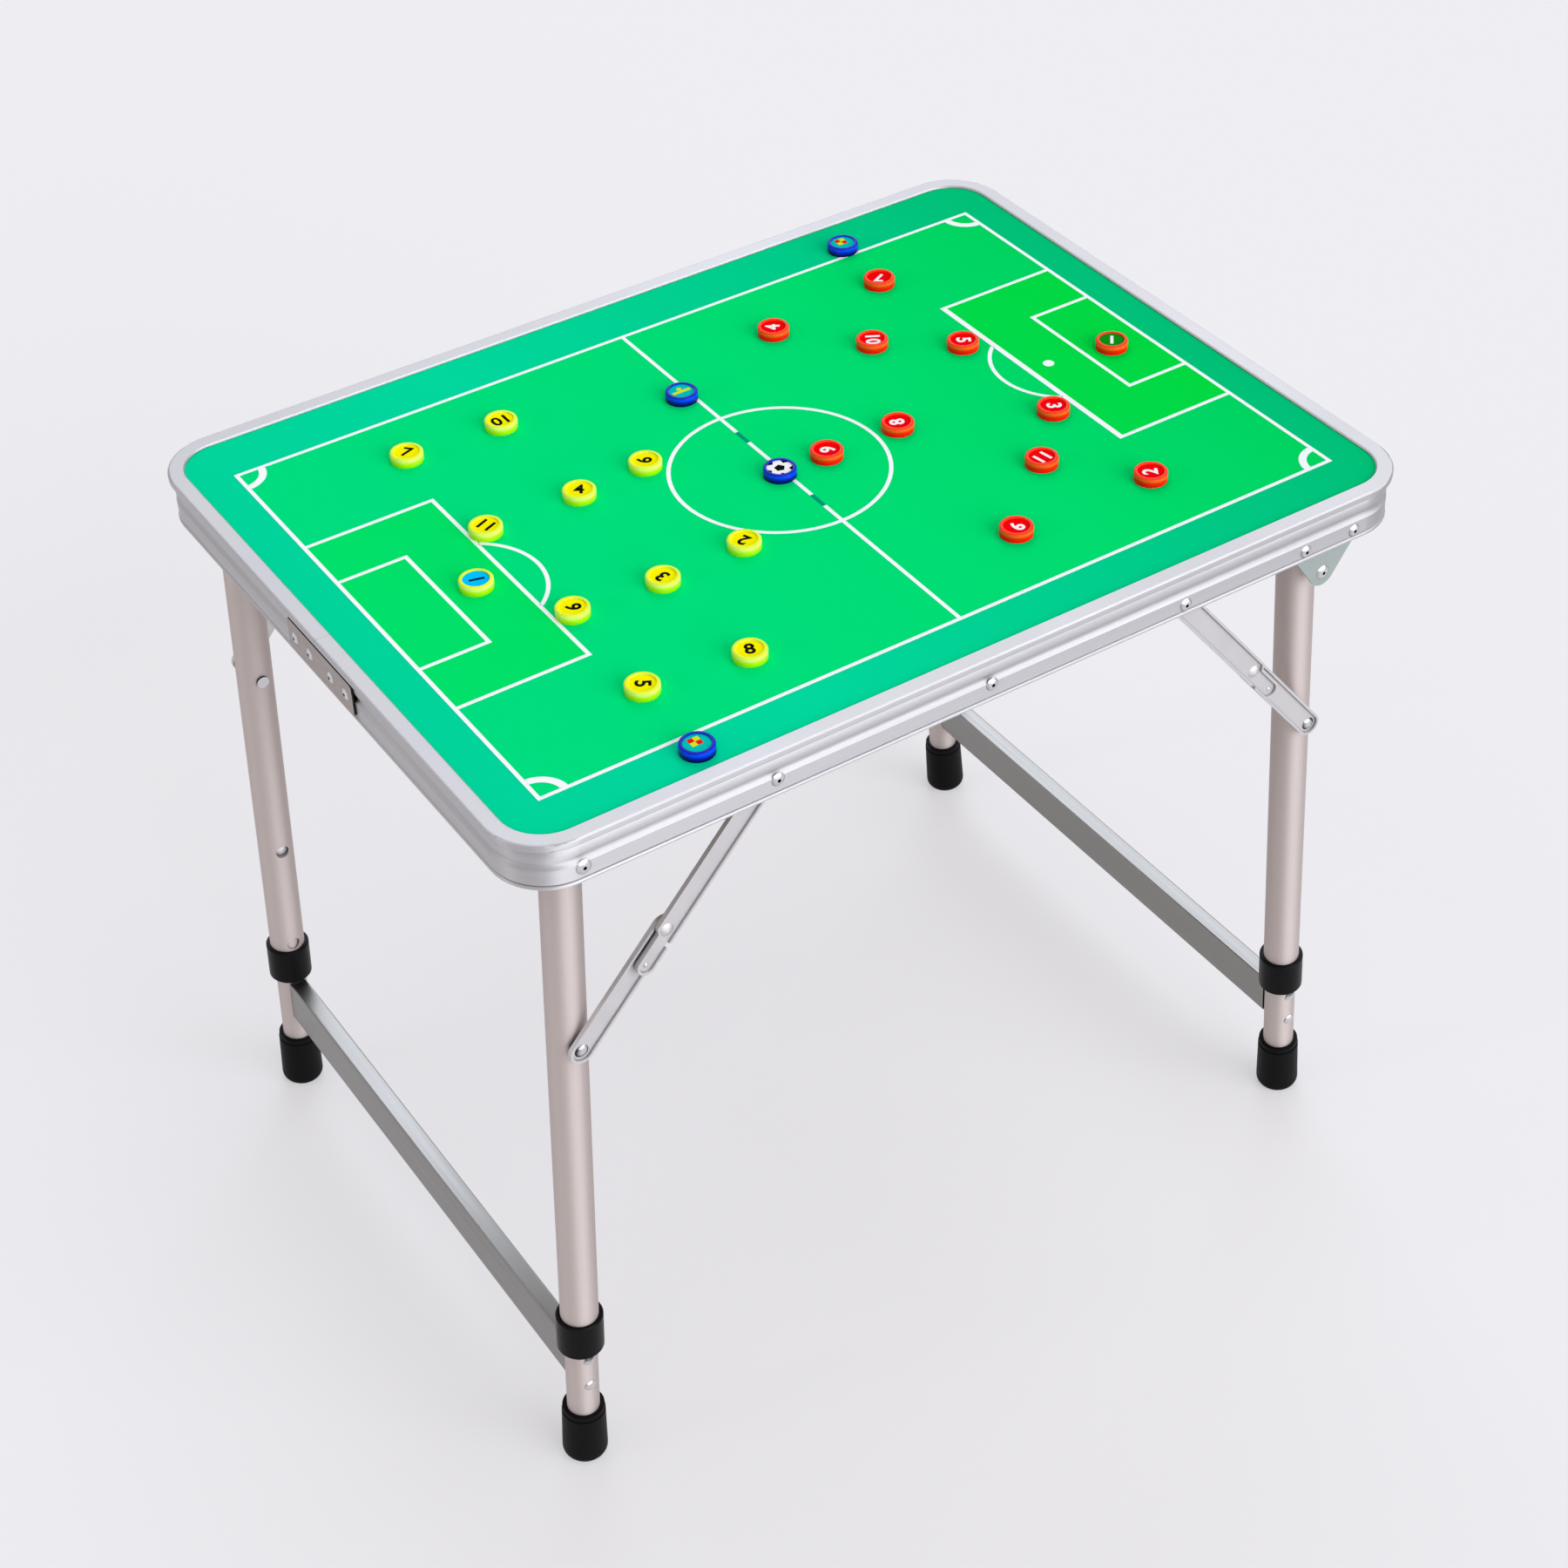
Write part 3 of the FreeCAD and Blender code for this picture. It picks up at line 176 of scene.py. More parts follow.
class TableSettings(bpy.types.PropertyGroup):
    """Colours of the metal, plastic and board of the table."""
    rim: bpy.props.StringProperty(
        name="Rim", description="Anodised aluminium of the rim, sRGB hex", default="c1bfc0")
    plate: bpy.props.StringProperty(
        name="Joiner plate", description="Rolled aluminium of the joiner plate, sRGB hex", default="a59b96")
    rivet: bpy.props.StringProperty(
        name="Rivets", description="Bright aluminium of the rivets, sRGB hex", default="d6d6d8")
    tube: bpy.props.StringProperty(
        name="Tubes", description="Anodised aluminium of the legs, sRGB hex", default="c5bab6")
    bar: bpy.props.StringProperty(
        name="Crossbars", description="Drawn aluminium of the crossbars, sRGB hex", default="8b8986")
    link: bpy.props.StringProperty(
        name="Braces", description="Zinc plated steel of the braces, sRGB hex", default="c7c4c4")
    bracket: bpy.props.StringProperty(
        name="Brackets", description="Zinc plated steel of the brackets, sRGB hex", default="a8b0ac")
    sheet: bpy.props.StringProperty(
        name="Sheet", description="Rolled steel under the print, sRGB hex", default="8a8c8e")
    board: bpy.props.StringProperty(
        name="Core board", description="Fibre board under the steel, sRGB hex", default="8d7457")
    bush: bpy.props.StringProperty(
        name="Bushes", description="Nylon bushes of the leg pivots, sRGB hex", default="d8d6cc")
    black: bpy.props.StringProperty(
        name="Black", description="Plastic collars and rubber feet, sRGB hex", default="0c0b0c")


def linear(code):
    """sRGB hex to linear RGBA."""
    channels = [int(code[i:i + 2], 16) / 255 for i in (0, 2, 4)]
    return tuple(c / 12.92 if c <= 0.04045 else ((c + 0.055) / 1.055) ** 2.4 for c in channels) + (1.0,)


def link(tree, node, links):
    """Link outputs to a node's inputs, by the inputs' names or places."""
    for name, source in links.items():
        tree.links.new(source, node.inputs[name])


def add_node(tree, kind, links=None, colours=(), **settings):
    """Add a node, set its inputs and properties by name, spread colours over its ramp and link its inputs."""
    node = tree.nodes.new(kind)
    for name, value in settings.items():
        if name in node.inputs:
            node.inputs[name].default_value = value
        else:
            setattr(node, name, value)
    if colours:
        stops = node.color_ramp.elements
        stops.remove(stops[1])
        stops[0].color = linear(colours[0])
        for i, code in enumerate(colours[1:], 1):
            stops.new(i / (len(colours) - 1)).color = linear(code)
    link(tree, node, links or {})
    return node


def new_material(name, **shader_inputs):
    """Material with a Principled shader; returns it, its tree and the shader."""
    material = bpy.data.materials.new(name)
    material.use_nodes = True
    tree = material.node_tree
    shader = tree.nodes["Principled BSDF"]
    for key, value in shader_inputs.items():
        shader.inputs[key.replace("_", " ")].default_value = value
    return material, tree, shader


def drawn_metal(name, code, roughness, sizes, spread=0.05, depth=0.02 * MM, brushed=0.0, painted_shade=0.5,
                corner=2 * MM, deep=0.5):
    """Metal with the streaks that a die or a roll leaves, in its roughness and relief, and with painted shade in
    its corners.

    sizes: one streak's along x, y and z, in mm.
    spread, depth: how far the roughness swings to each side, and the height of the relief.
    brushed: how far a highlight is drawn out up and down. The direction leans, so that level faces have one too.
    painted_shade: painted shade, the share of the tone that is left in a corner, where within the distance corner
    only the share deep is open.
    """
    material, tree, shader = new_material(name, Metallic=1.0, Anisotropic=brushed)
    upwards = add_node(tree, "ShaderNodeCombineXYZ", X=0.3, Y=0.25, Z=0.92)
    place = add_node(tree, "ShaderNodeTexCoord")
    scaled = add_node(tree, "ShaderNodeMapping", {"Vector": place.outputs["Object"]},
                      Scale=[1 / (size * MM) for size in sizes])
    streaks = add_node(tree, "ShaderNodeTexNoise", {"Vector": scaled.outputs["Vector"]}, Scale=1.0, Detail=3.0)
    rough = add_node(tree, "ShaderNodeMapRange", {"Value": streaks.outputs["Fac"]},
                     **NOISE, **{"To Min": roughness - spread, "To Max": roughness + spread})
    relief = add_node(tree, "ShaderNodeBump", {"Height": streaks.outputs["Fac"]}, Strength=0.2, Distance=depth)
    # Painted shade: the tone is darkened where ambient occlusion finds other surfaces near, in corners, grooves
    # and round rivet heads
    shade = add_node(tree, "ShaderNodeAmbientOcclusion", Distance=corner, samples=8)
    clear = add_node(tree, "ShaderNodeMapRange", {"Value": shade.outputs["AO"]},
                     **{"From Min": deep, "From Max": 1.0, "To Min": painted_shade, "To Max": 1.0})
    tone = add_node(tree, "ShaderNodeVectorMath", {"Scale": clear.outputs["Result"]}, operation="SCALE")
    tone.inputs[0].default_value = linear(code)[:3]
    link(tree, shader, {"Tangent": upwards.outputs["Vector"], "Base Color": tone.outputs["Vector"],
                        "Roughness": rough.outputs["Result"], "Normal": relief.outputs["Normal"]})
    return material


def moulded(name, codes, roughness, grain, depth, ior=1.5, gloss=0.5, levels=(0.0, 1.0)):
    """Moulded plastic or rubber; several colours follow each other upwards between two levels.

    grain, depth: size and height of the fine grain that the mould leaves.
    """
    material, tree, shader = new_material(
        name, Base_Color=linear(codes[:6]), IOR=ior, Specular_IOR_Level=gloss)
    place = add_node(tree, "ShaderNodeTexCoord")
    noise = add_node(tree, "ShaderNodeTexNoise", {"Vector": place.outputs["Object"]},
                     Scale=1 / grain, Detail=2.0)
    rough = add_node(tree, "ShaderNodeMapRange", {"Value": noise.outputs["Fac"]},
                     **NOISE, **{"To Min": roughness - 0.05, "To Max": roughness + 0.05})
    relief = add_node(tree, "ShaderNodeBump", {"Height": noise.outputs["Fac"]}, Strength=0.25, Distance=depth)
    link(tree, shader, {"Roughness": rough.outputs["Result"], "Normal": relief.outputs["Normal"]})
    if len(codes) > 6:
        height = add_node(tree, "ShaderNodeSeparateXYZ", {"Vector": place.outputs["Object"]})
        share = add_node(tree, "ShaderNodeMapRange", {"Value": height.outputs["Z"]},
                         **{"From Min": levels[0], "From Max": levels[1]})
        tone = add_node(tree, "ShaderNodeValToRGB", {"Fac": share.outputs["Result"]}, codes.split())
        link(tree, shader, {"Base Color": tone.outputs["Color"]})
    return material


def printed(name, codes, blotch=0.1):
    """Matt ink on a smooth sheet: its tone drifts from the left end of the board to the right.

    Blotches of 90 mm, the share blotch of the drift, break it up, and the sheet waves over 45 mm.
    """
    material, tree, shader = new_material(name, Roughness=0.45, IOR=1.5, Specular_IOR_Level=0.0)
    place = add_node(tree, "ShaderNodeTexCoord")
    cloud = add_node(tree, "ShaderNodeTexNoise", {"Vector": place.outputs["Object"]},
                     Scale=1 / (90 * MM), Detail=2.0)
    along = add_node(tree, "ShaderNodeSeparateXYZ", {"Vector": place.outputs["Object"]})
    share = add_node(tree, "ShaderNodeMapRange", {"Value": along.outputs["X"]},
                     **{"From Min": CAD_BOX[0][0], "From Max": CAD_BOX[1][0], "To Max": 1 - blotch})
    drift = add_node(tree, "ShaderNodeMath", {0: cloud.outputs["Fac"], 2: share.outputs["Result"]},
                     operation="MULTIPLY_ADD")
    drift.inputs[1].default_value = blotch
    tone = add_node(tree, "ShaderNodeValToRGB", {"Fac": drift.outputs[0]}, codes.split())
    wave = add_node(tree, "ShaderNodeTexNoise", {"Vector": place.outputs["Object"]},
                    Scale=1 / (45 * MM), Detail=1.0)
    relief = add_node(tree, "ShaderNodeBump", {"Height": wave.outputs["Fac"]}, Strength=0.1, Distance=0.2 * MM)
    link(tree, shader, {"Base Color": tone.outputs["Color"], "Normal": relief.outputs["Normal"]})
    return material


def dress(material, *nodes):
    """Give CAD nodes a material."""
    for name in nodes:
        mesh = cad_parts[name].data
        mesh.materials.clear()
        mesh.materials.append(material)


def both_sets(*names):
    """Node names of the left and the right leg set."""
    return [side + "_" + name for side in ("left", "right") for name in names]


def add_piece(name, mesh, material, body):
    """Put a mesh in the scene as a piece that rides on a body."""
    mesh.materials.clear()
    mesh.materials.append(material)
    piece = bpy.data.objects.new(name, mesh)
    bpy.context.scene.collection.objects.link(piece)
    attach(piece, body)


def layer(name, outlines, bottom, material, body):
    """Printed piece from closed outlines of (x, y) points, each a slab as thick as the ink."""
    shape = bmesh.new()
    for points in outlines:
        low = [shape.verts.new((x, y, bottom)) for x, y in points]
        high = [shape.verts.new((x, y, bottom + INK)) for x, y in points]
        shape.faces.new(high)
        shape.faces.new(low[::-1])
        for i in range(len(points)):
            j = (i + 1) % len(points)
            shape.faces.new((low[i], low[j], high[j], high[i]))
    bmesh.ops.recalc_face_normals(shape, faces=shape.faces)
    mesh = bpy.data.meshes.new(name)
    shape.to_mesh(mesh)
    shape.free()
    add_piece(name, mesh, material, body)


def box_outline(x0, y0, x1, y1):
    """Rectangle between two corners, counter-clockwise."""
    x0, x1 = sorted((x0, x1))
    y0, y1 = sorted((y0, y1))
    return [(x0, y0), (x1, y0), (x1, y1), (x0, y1)]


def on_circle(centre, radius, turn):
    """Point of a circle, at an angle in radians."""
    return centre[0] + radius * math.cos(turn), centre[1] + radius * math.sin(turn)


def ring_outlines(centre, radius, width, start, end):
    """Arc of a line as a row of four-sided pieces; angles in degrees."""
    first, last = math.radians(start), math.radians(end)
    count = max(2, round(abs(last - first) / ARC_STEP))
    inner, outer = radius - width / 2, radius + width / 2
    turns = [first + (last - first) * i / count for i in range(count + 1)]
    return [[on_circle(centre, inner, t0), on_circle(centre, outer, t0),
             on_circle(centre, outer, t1), on_circle(centre, inner, t1)] for t0, t1 in zip(turns, turns[1:])]


def disc_outline(centre, radius, count=48):
    """Circle as a closed outline."""
    return [on_circle(centre, radius, 2 * math.pi * i / count) for i in range(count)]


class TACTICS_OT_rim(bpy.types.Operator):
    """Dress the rim, its joiner plate, its rivets and the leg brackets"""
    bl_idname = "tactics.rim"
    bl_label = "Rim and brackets"

    def execute(self, context):
        table = context.scene.tactics_table
        # Extruded aluminium, bright anodised: satin with fine lines round the board from the die.
        # Die lines are about 0.1 mm apart, drawn at 1.5 mm so that they show.
        # Painted shade darkens the rim's flutes and the groove under its lip.
        dress(drawn_metal("aluminium_extruded_anodised", table.rim, 0.58, (250, 250, 1.5), brushed=0.8, painted_shade=0.8),
              "rim_extrusion")
        # Rolled aluminium sheet, cut and tumbled: duller than the rim, with painted shade round the rivets.
        # Rolling lines are about 0.2 mm apart, drawn at 2 mm so that they show.
        dress(drawn_metal("aluminium_sheet_rolled", table.plate, 0.5, (250, 17, 2), spread=0.06, brushed=0.6,
                          painted_shade=0.1, corner=4 * MM, deep=0.75), "rim_joiner_plate")
        # Drawn aluminium rivets, headed cold: bright domes with soft dents of about 3 mm, and painted shade at the
        # foot.
        dress(drawn_metal("aluminium_rivet_headed", table.rivet, 0.2, (3.3, 3.3, 3.3), painted_shade=0.03,
                          corner=6 * MM, deep=0.85),
              "rim_rivets", "leg_pivot_rivets", "brace_anchor_rivets",
              *both_sets("brace_leg_rivets", "crossbar_rivets"))
        # Pressed steel with clear zinc: grey with a faint green cast and cloudy patches of about 15 mm.
        dress(drawn_metal("steel_pressed_zinc", table.bracket, 0.6, (15, 15, 15), spread=0.06),
              "right_leg_brackets")
        # Moulded nylon: milky and dull, with a mould grain of 0.3 mm, drawn at 0.8 mm to show.
        dress(moulded("nylon_moulded", table.bush, 0.45, 0.8 * MM, 0.02 * MM, ior=1.53), "leg_pivot_bushes")
        return {"FINISHED"}


class TACTICS_OT_pitch(bpy.types.Operator):
    """Print the pitch on the film and dress the layers under it"""
    bl_idname = "tactics.pitch"
    bl_label = "Printed pitch"

    def execute(self, context):
        pitch = context.scene.tactics_pitch
        table = context.scene.tactics_table
        # Polyester film, printed and laminated matt: smooth, each ink even, with a slow wave of the sheet.
        dress(printed("film_printed_surround", pitch.surround), "printed_film")
        # Rolled steel sheet: grey. Rolling lines are about 0.3 mm apart, drawn at 3.3 mm.
        dress(drawn_metal("steel_sheet_rolled", table.sheet, 0.4, (250, 3.3, 3.3)), "steel_sheet")
        # Pressed fibre board: brown and dull, with flecks of 2 mm.
        dress(moulded("fibre_board_pressed", table.board, 0.7, 2 * MM, 0.1 * MM), "core_board")
        half_x, half_y = pitch.length / 2, pitch.width / 2
        field = [box_outline(-half_x, -half_y, half_x, half_y)]
        wide = pitch.area_width / 2
        areas = []
        lines = []
        for side in (-1, 1):
            areas.append(box_outline(side * half_x, -wide, side * (half_x - pitch.area_depth), wide))
            lines += self.end_lines(pitch, side)
        middle, dashes = self.middle_lines(pitch)
        for name, outlines, under, ink, codes in (
                ("pitch_grass", field, 0, "grass", pitch.grass),
                ("pitch_areas", areas, 1, "areas", pitch.area),
                ("pitch_lines", lines + middle, 2, "white", pitch.white),
                ("pitch_dashes", dashes, 2, "dashes", pitch.dashes)):
            placed = [[(pitch.offset_x + x, pitch.offset_y + y) for x, y in points] for points in outlines]
            layer(name, placed, PRINT_TOP + under * INK, printed("film_printed_" + ink, codes),
                  "tabletop")
        return {"FINISHED"}

    def end_lines(self, pitch, side):
        """Lines of the left end, side -1, or the right end, side 1."""
        half_x, half_y, line = pitch.length / 2, pitch.width / 2, pitch.line
        edge_x, edge_y = half_x - line / 2, half_y - line / 2
        # Border: a goal line and a touch line, butted at the corners.
        lines = [box_outline(side * (half_x + line / 2), -half_y - line / 2, side * edge_x, half_y + line / 2),
                 box_outline(-edge_x, side * (half_y + line / 2), edge_x, side * edge_y)]
        # Penalty and goal areas: two short lines and the long one across their ends.
        heavy = pitch.heavy_line if side > 0 else line
        for depth, width, long_line in ((pitch.area_depth, pitch.area_width, heavy),
                                        (pitch.goal_depth, pitch.goal_width, line)):
            end = side * (half_x - depth)
            for y in (-width / 2, width / 2):
                lines.append(box_outline(side * edge_x, y - line / 2, end + side * long_line / 2, y + line / 2))
            reach = width / 2 + line / 2
            lines.append(box_outline(end - long_line / 2, -reach, end + long_line / 2, reach))
        # Arc in front of the penalty area, from its long line.
        centre = side * (half_x - pitch.arc_centre)
        open_half = math.degrees(math.acos((pitch.area_depth - pitch.arc_centre + heavy / 2) / pitch.arc))
        facing = 180 if side > 0 else 0
        lines += ring_outlines((centre, 0), pitch.arc, line, facing - open_half, facing + open_half)
        lines.append(disc_outline((side * (half_x - pitch.spot), 0), pitch.spot_size))
        # Corner arcs, between the inner edges of the border.
        trim = math.degrees(math.asin(line / 2 / pitch.corner))
        for across in (-1, 1):
            start = {(-1, -1): 0, (1, -1): 90, (1, 1): 180, (-1, 1): 270}[(side, across)]
            lines += ring_outlines((side * half_x, across * half_y), pitch.corner, pitch.corner_line,
                                   start + trim, start + 90 - trim)
        # Halfway line, outside the circle.
        lines.append(box_outline(-line / 2, side * edge_y, line / 2, side * (pitch.circle + line / 2)))
        return lines

    def middle_lines(self, pitch):
        """Centre circle and the halfway line in it, and the two dashes that break that line."""
        line, place = pitch.line, pitch.dash_place
        near, far = place - pitch.dash / 2, place + pitch.dash / 2
        lines = ring_outlines((0, 0), pitch.circle, line, 0, 360)
        lines.append(box_outline(-line / 2, -near, line / 2, near))
        dashes = []
        for side in (-1, 1):
            lines.append(box_outline(-line / 2, side * far, line / 2, side * (pitch.circle - line / 2)))
            dashes.append(box_outline(-line / 2, side * near, line / 2, side * far))
        return lines, dashes


class TACTICS_OT_legs(bpy.types.Operator):
    """Dress the telescopic legs, crossbars, collars and feet"""
    bl_idname = "tactics.legs"
    bl_label = "Legs"

    def execute(self, context):
        table = context.scene.tactics_table
        # Drawn aluminium tube, satin anodised: warm silver with faint lines along the tube.
        # Drawing lines are about 0.1 mm apart, drawn at 0.8 mm so that they show.
        # Painted shade darkens the tubes where other parts come close.
        dress(drawn_metal("aluminium_tube_anodised", table.tube, 0.68, (0.8, 0.8, 80), spread=0.015,
                          depth=0.003 * MM, brushed=0.5, painted_shade=0.75), *both_sets("upper_tubes", "lower_tubes"))
        # Drawn flat aluminium tube, left bare: plain grey with lines along it, 0.1 mm apart, drawn at 1.5 mm.
        dress(drawn_metal("aluminium_bar_drawn", table.bar, 0.34, (1.5, 200, 1.5)), *both_sets("crossbar"))
        # Moulded polypropylene: black satin with a fine mould grain, 0.3 mm, drawn at 0.7 mm to show.
        dress(moulded("polypropylene_moulded_black", table.black, 0.35, 0.7 * MM, 0.03 * MM, ior=1.49, gloss=0.08),
              *both_sets("collars", "tube_plugs"))
        # Moulded rubber: black and duller, with a coarser grain, 0.4 mm, drawn at 0.9 mm to show.
        dress(moulded("rubber_moulded_black", table.black, 0.5, 0.9 * MM, 0.04 * MM, ior=1.52, gloss=0.06),
              *both_sets("feet"))
        return {"FINISHED"}


class TACTICS_OT_braces(bpy.types.Operator):
    """Dress the folding braces and the height buttons"""
    bl_idname = "tactics.braces"
    bl_label = "Braces"

    def execute(self, context):
        table = context.scene.tactics_table
        # Pressed steel strip, bright zinc: pale silver, slightly cloudy over about 15 mm.
        # Painted shade darkens the links within 1 mm of other surfaces.
        dress(drawn_metal("steel_strip_zinc", table.link, 0.6, (15, 15, 15), spread=0.06, brushed=0.3, painted_shade=0.6,
                          corner=1 * MM), *both_sets("frame_links", "leg_links", "button_near", "button_far"))
        return {"FINISHED"}


class TACTICS_OT_counters(bpy.types.Operator):
    """Dress the counters and print their faces"""
    bl_idname = "tactics.counters"
    bl_label = "Counters"

    def execute(self, context):
        look = context.scene.tactics_counters
        # Moulded ABS: smooth, uneven by a hair over 3 mm, darker towards the base and paler at the shoulder, a
        # painted highlight.
        levels = [corner[2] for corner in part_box("counter_ball")]
        cups = {team: moulded("abs_moulded_" + team, codes, 0.25, 3 * MM, 0.03 * MM, ior=1.53, gloss=0.08,
                              levels=levels)
                for team, codes in (("yellow", look.yellow), ("red", look.red), ("blue", look.blue))}
        # Printed paper, uncoated: even ink, matt.
        inks = {name: printed("paper_printed_" + name, codes)
                for name, codes in dict(INKS, yellow=look.yellow_face, red=look.red_face).items()}
        for team, turns, keeper_face, keeper_ink, ink in (
                ("yellow", YELLOW_TURNS, "cyan", "navy", "black"), ("red", RED_TURNS, "green", "white", "white")):
            for number, turn in turns.items():
                node = "counter_%s_%02d" % (team, number)
                dress(cups[team], node)
                keeper = number == 1
                top = self.face(node, look, inks[keeper_face if keeper else team])
                self.numeral(node, look, str(number), turn, top, inks[keeper_ink if keeper else ink])
        for name in ("referee", "assistant_far", "assistant_near", "ball"):
            dress(cups["blue"], "counter_" + name)
        self.officials(look, inks)
        self.ball(look, inks)
        return {"FINISHED"}

    def face(self, node, look, ink):
        """Print a counter's face; returns the middle of its top."""
        low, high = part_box(node)
        x, y = (low[0] + high[0]) / 2, (low[1] + high[1]) / 2
        bottom = high[2] - FACE_DEPTH
        layer(node + "_face", [disc_outline((x, y), look.face)], bottom, ink, node)
        return Vector((x, y, bottom + INK))

    def numeral(self, node, look, text, turn, top, ink):
        """Print a numeral on a face, with its top towards turn, in degrees."""
        curve = bpy.data.curves.new(node + "_numeral", "FONT")
        curve.body = text
        curve.size = look.numeral * FONT_SHARE
        curve.align_x = "CENTER"
        curve.align_y = "CENTER"
        curve.extrude = INK / 2
        curve.offset = look.stroke
        curve.resolution_u = 4
        holder = bpy.data.objects.new(node + "_curve", curve)
        bpy.context.scene.collection.objects.link(holder)
        bpy.context.view_layer.update()
        mesh = bpy.data.meshes.new_from_object(holder.evaluated_get(bpy.context.evaluated_depsgraph_get()))
        bpy.data.objects.remove(holder)
        mesh.transform(Matrix.Translation(top + Vector((0, 0, INK / 2))) @
                       Matrix.Rotation(math.radians(turn - 90), 4, "Z"))
        add_piece(node + "_numeral", mesh, ink, node)

    def officials(self, look, inks):
        """Plain signs: a flag of four fields for each assistant, a bar and a dot for the referee's whistle."""
        for node in ("counter_assistant_far", "counter_assistant_near"):
            x, y, level = self.face(node, look, inks["teal"])
            fields = {"scarlet": [], "lime": []}
            for i in range(2):
                for j in range(2):
                    left, low = x + (i - 1) * look.flag, y + (j - 0.4) * look.flag
                    fields["scarlet" if (i + j) % 2 else "lime"].append(
                        box_outline(left, low, left + look.flag, low + look.flag))
            for ink, cells in fields.items():
                layer(node + "_flag_" + ink, cells, level, inks[ink], node)
        node = "counter_referee"
        x, y, level = self.face(node, look, inks["teal"])
        sign = [box_outline(x - 6 * MM, y - 1.2 * MM, x + 6 * MM, y + 1.2 * MM),
                disc_outline((x, y + 3 * MM), 1.6 * MM, 16)]
        layer(node + "_sign", sign, level, inks["lime"], node)

    def ball(self, look, inks):
        """White face with a dark five-sided patch and five part patches round its edge."""
        node = "counter_ball"
        x, y, level = self.face(node, look, inks["white"])
        inner, half = 5.4 * MM, 0.33
        patches = [disc_outline((x, y), look.patch, 5)]
        for i in range(5):
            turn = 2 * math.pi * (i + 0.5) / 5
            edge = [on_circle((x, y), look.face, t) for t in (turn - half, turn, turn + half)]
            patches.append([on_circle((x, y), inner, turn)] + edge)
        layer(node + "_patches", patches, level, inks["black"], node)


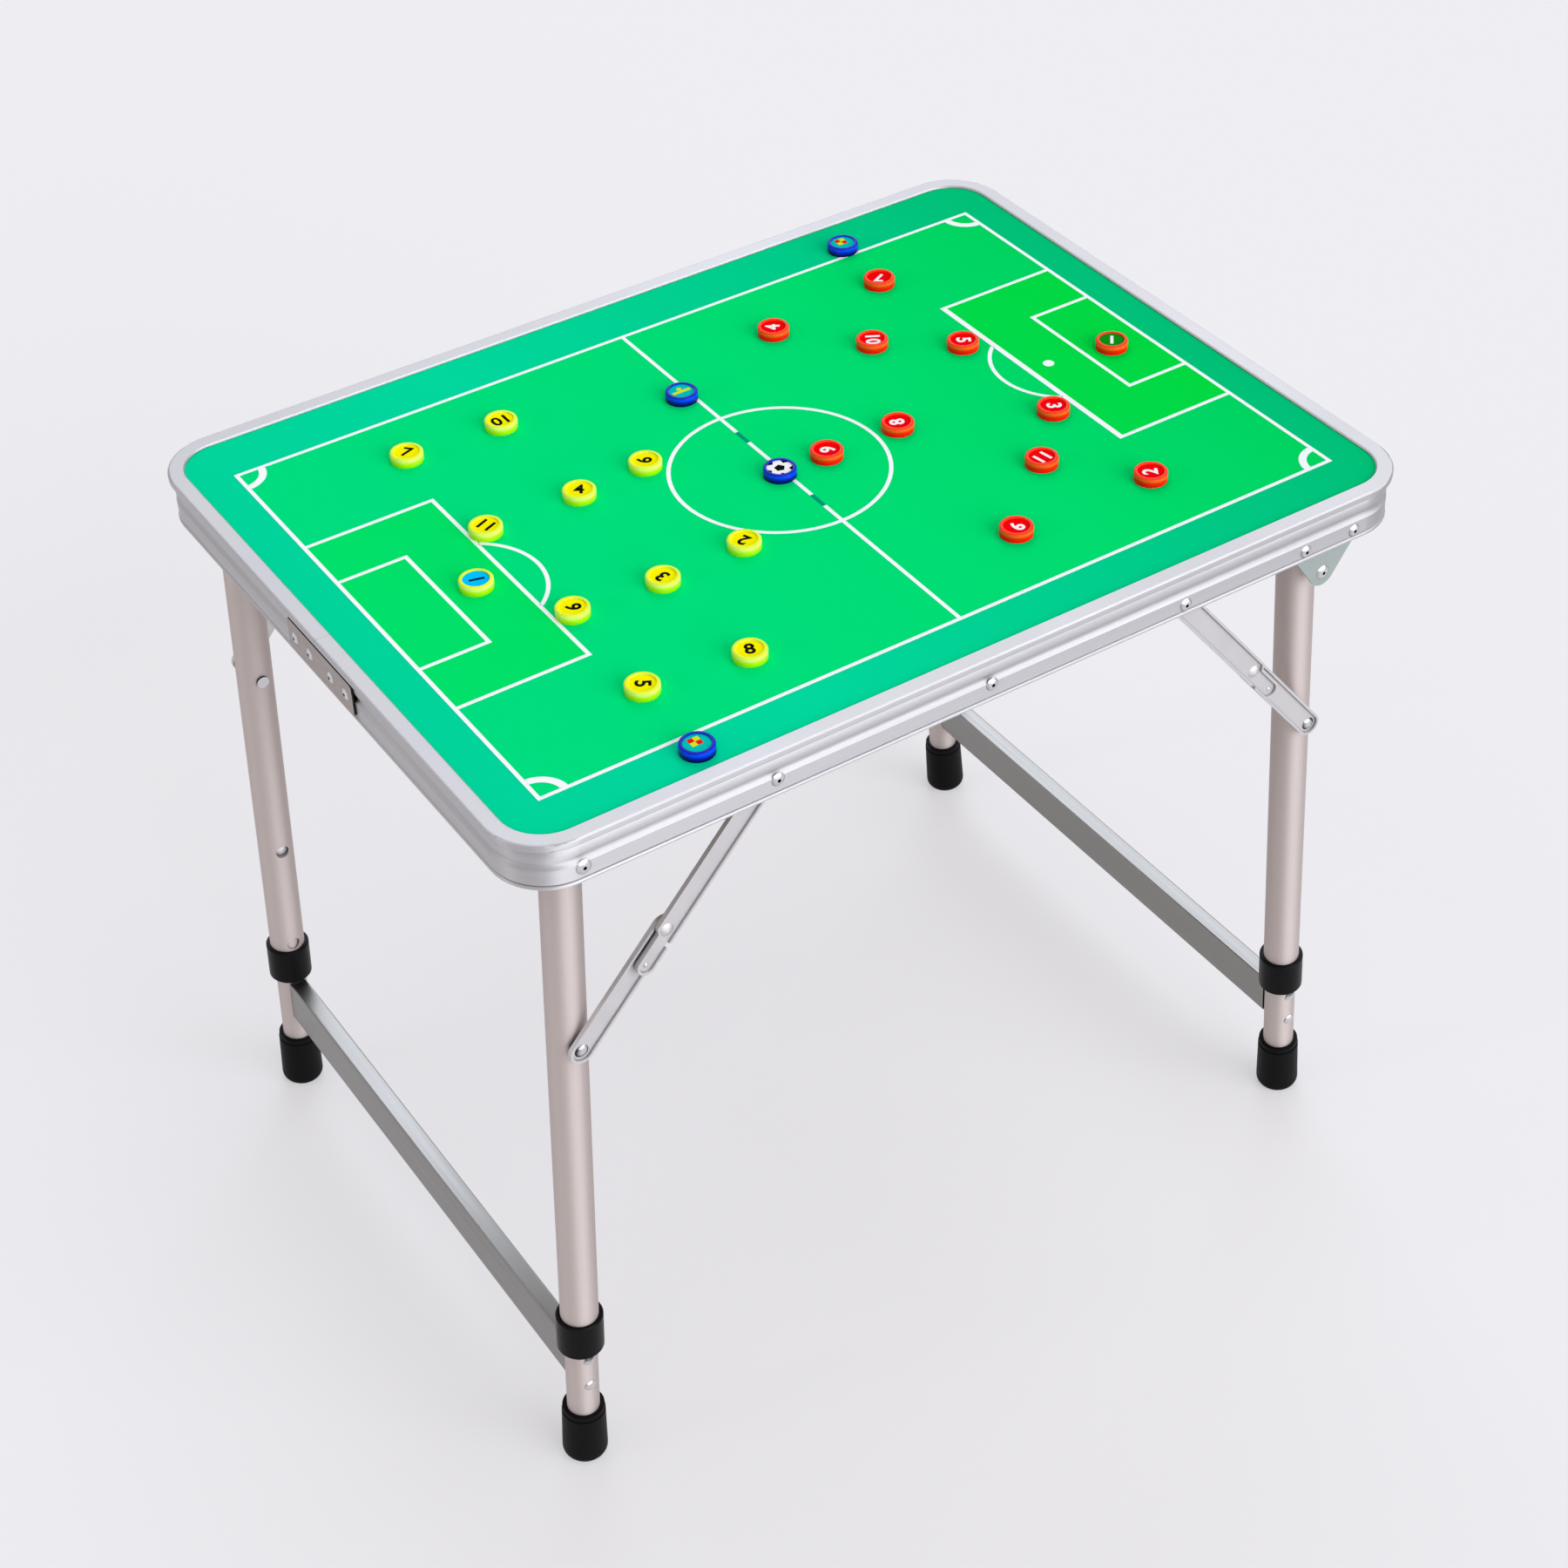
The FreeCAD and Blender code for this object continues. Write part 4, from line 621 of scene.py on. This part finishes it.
class TACTICS_OT_stage(bpy.types.Operator):
    """Set the floor, the light and the camera"""
    bl_idname = "tactics.stage"
    bl_label = "Stage"

    def execute(self, context):
        scene = context.scene
        self.floor(scene)
        self.sky(scene)
        self.lamps(scene)
        self.camera(scene)
        scene.view_settings.view_transform = "Standard"
        return {"FINISHED"}

    def floor(self, scene):
        """Floor that runs far out of the picture, half lit and half of its own pale tone."""
        reach = 30.0
        mesh = bpy.data.meshes.new("floor")
        mesh.from_pydata([(-reach, -reach, 0), (reach, -reach, 0), (reach, reach, 0), (-reach, reach, 0)], [],
                         [(0, 1, 2, 3)])
        # Uncoated paper: pale and matt.
        pale, tree, shader = new_material("paper_floor_pale", Base_Color=linear("efeded"), Roughness=0.9,
                                          Specular_IOR_Level=0.0)
        glow = add_node(tree, "ShaderNodeEmission", Color=linear("edebed"), Strength=1.0)
        mixed = add_node(tree, "ShaderNodeMixShader", {
            0: self.seen_rays(tree, 0.5), 1: shader.outputs["BSDF"], 2: glow.outputs["Emission"]})
        link(tree, tree.nodes["Material Output"], {"Surface": mixed.outputs["Shader"]})
        mesh.materials.append(pale)
        floor = bpy.data.objects.new("floor", mesh)
        scene.collection.objects.link(floor)

    def sky(self, scene):
        """Dim light from all round, behind a pale background."""
        world = bpy.data.worlds.new("studio")
        scene.world = world
        world.use_nodes = True
        tree = world.node_tree
        dim = tree.nodes["Background"]
        dim.inputs["Color"].default_value = linear("fbfaff")
        dim.inputs["Strength"].default_value = 0.42
        bright = add_node(tree, "ShaderNodeBackground", Color=linear("f0f0f4"), Strength=1.0)
        mixed = add_node(tree, "ShaderNodeMixShader", {
            0: self.seen_rays(tree, 1.0), 1: dim.outputs["Background"], 2: bright.outputs["Background"]})
        link(tree, tree.nodes["World Output"], {"Surface": mixed.outputs["Shader"]})

    def seen_rays(self, tree, share):
        """Share of the pale background in what the camera, mirrors and glass see."""
        path = add_node(tree, "ShaderNodeLightPath")
        first = add_node(tree, "ShaderNodeMath", {
            0: path.outputs["Is Camera Ray"], 1: path.outputs["Is Glossy Ray"]}, operation="MAXIMUM")
        both = add_node(tree, "ShaderNodeMath", {
            0: first.outputs[0], 1: path.outputs["Is Transmission Ray"]}, operation="MAXIMUM")
        part = add_node(tree, "ShaderNodeMath", {0: both.outputs[0]}, operation="MULTIPLY")
        part.inputs[1].default_value = share
        return part.outputs[0]

    def lamps(self, scene):
        """A wide low lamp in front draws the stripes of rim and legs, and the others fill in."""
        for name, energy, code, spread, towards in (
                ("front", 3.9, "f2f6ff", 66, (-0.27, 0.95, -0.156)),
                ("back", 1.0, "e6f0ff", 40, (-0.40, -0.65, -0.64)),
                ("left", 0.25, "ffffff", 12, (0.94, -0.23, -0.28)),
                ("top", 0.6, "ffffff", 60, (-0.2, 0.2, -0.96))):
            light = bpy.data.lights.new(name, "SUN")
            light.energy = energy
            light.color = linear(code)[:3]
            light.angle = math.radians(spread)
            lamp = bpy.data.objects.new(name, light)
            lamp.rotation_euler = Vector(towards).to_track_quat("-Z", "Y").to_euler()
            scene.collection.objects.link(lamp)

    def camera(self, scene):
        """Camera whose place and axes were fitted to the lines of the pitch."""
        optics = bpy.data.cameras.new("camera")
        optics.lens = 68.0
        optics.sensor_width = 36.0
        eye = bpy.data.objects.new("camera", optics)
        right = Vector((0.835622, -0.548591, -0.027993))
        down = Vector((-0.370117, -0.524647, -0.766654))
        ahead = Vector((0.405893, 0.650994, -0.64145))
        eye.matrix_world = Matrix.Translation((-0.7721, -1.2357, 1.4790)) @ Matrix(
            (right, -down, -ahead)).transposed().to_4x4()
        scene.collection.objects.link(eye)
        scene.camera = eye


class TACTICS_PT_panel(bpy.types.Panel):
    """Lists the steps that dress the board"""
    bl_idname = "TACTICS_PT_panel"
    bl_label = "Tactics board"
    bl_space_type = "VIEW_3D"
    bl_region_type = "UI"
    bl_category = "Tactics board"

    def draw(self, context):
        for step in STEPS:
            self.layout.operator(step.bl_idname)


SETTINGS = {"tactics_pitch": PitchSettings, "tactics_counters": CounterSettings, "tactics_table": TableSettings}
STEPS = (TACTICS_OT_rim, TACTICS_OT_pitch, TACTICS_OT_legs, TACTICS_OT_braces, TACTICS_OT_counters,
         TACTICS_OT_stage)


def register():
    for name, group in SETTINGS.items():
        bpy.utils.register_class(group)
        setattr(bpy.types.Scene, name, bpy.props.PointerProperty(type=group))
    for cls in STEPS + (TACTICS_PT_panel,):
        bpy.utils.register_class(cls)


def unregister():
    for cls in (TACTICS_PT_panel,) + STEPS[::-1]:
        bpy.utils.unregister_class(cls)
    for name, group in SETTINGS.items():
        delattr(bpy.types.Scene, name)
        bpy.utils.unregister_class(group)


def main():
    register()
    bpy.ops.tactics.rim()
    bpy.ops.tactics.pitch()
    bpy.ops.tactics.legs()
    bpy.ops.tactics.braces()
    bpy.ops.tactics.counters()
    bpy.ops.tactics.stage()


if __name__ == "__main__":
    main()
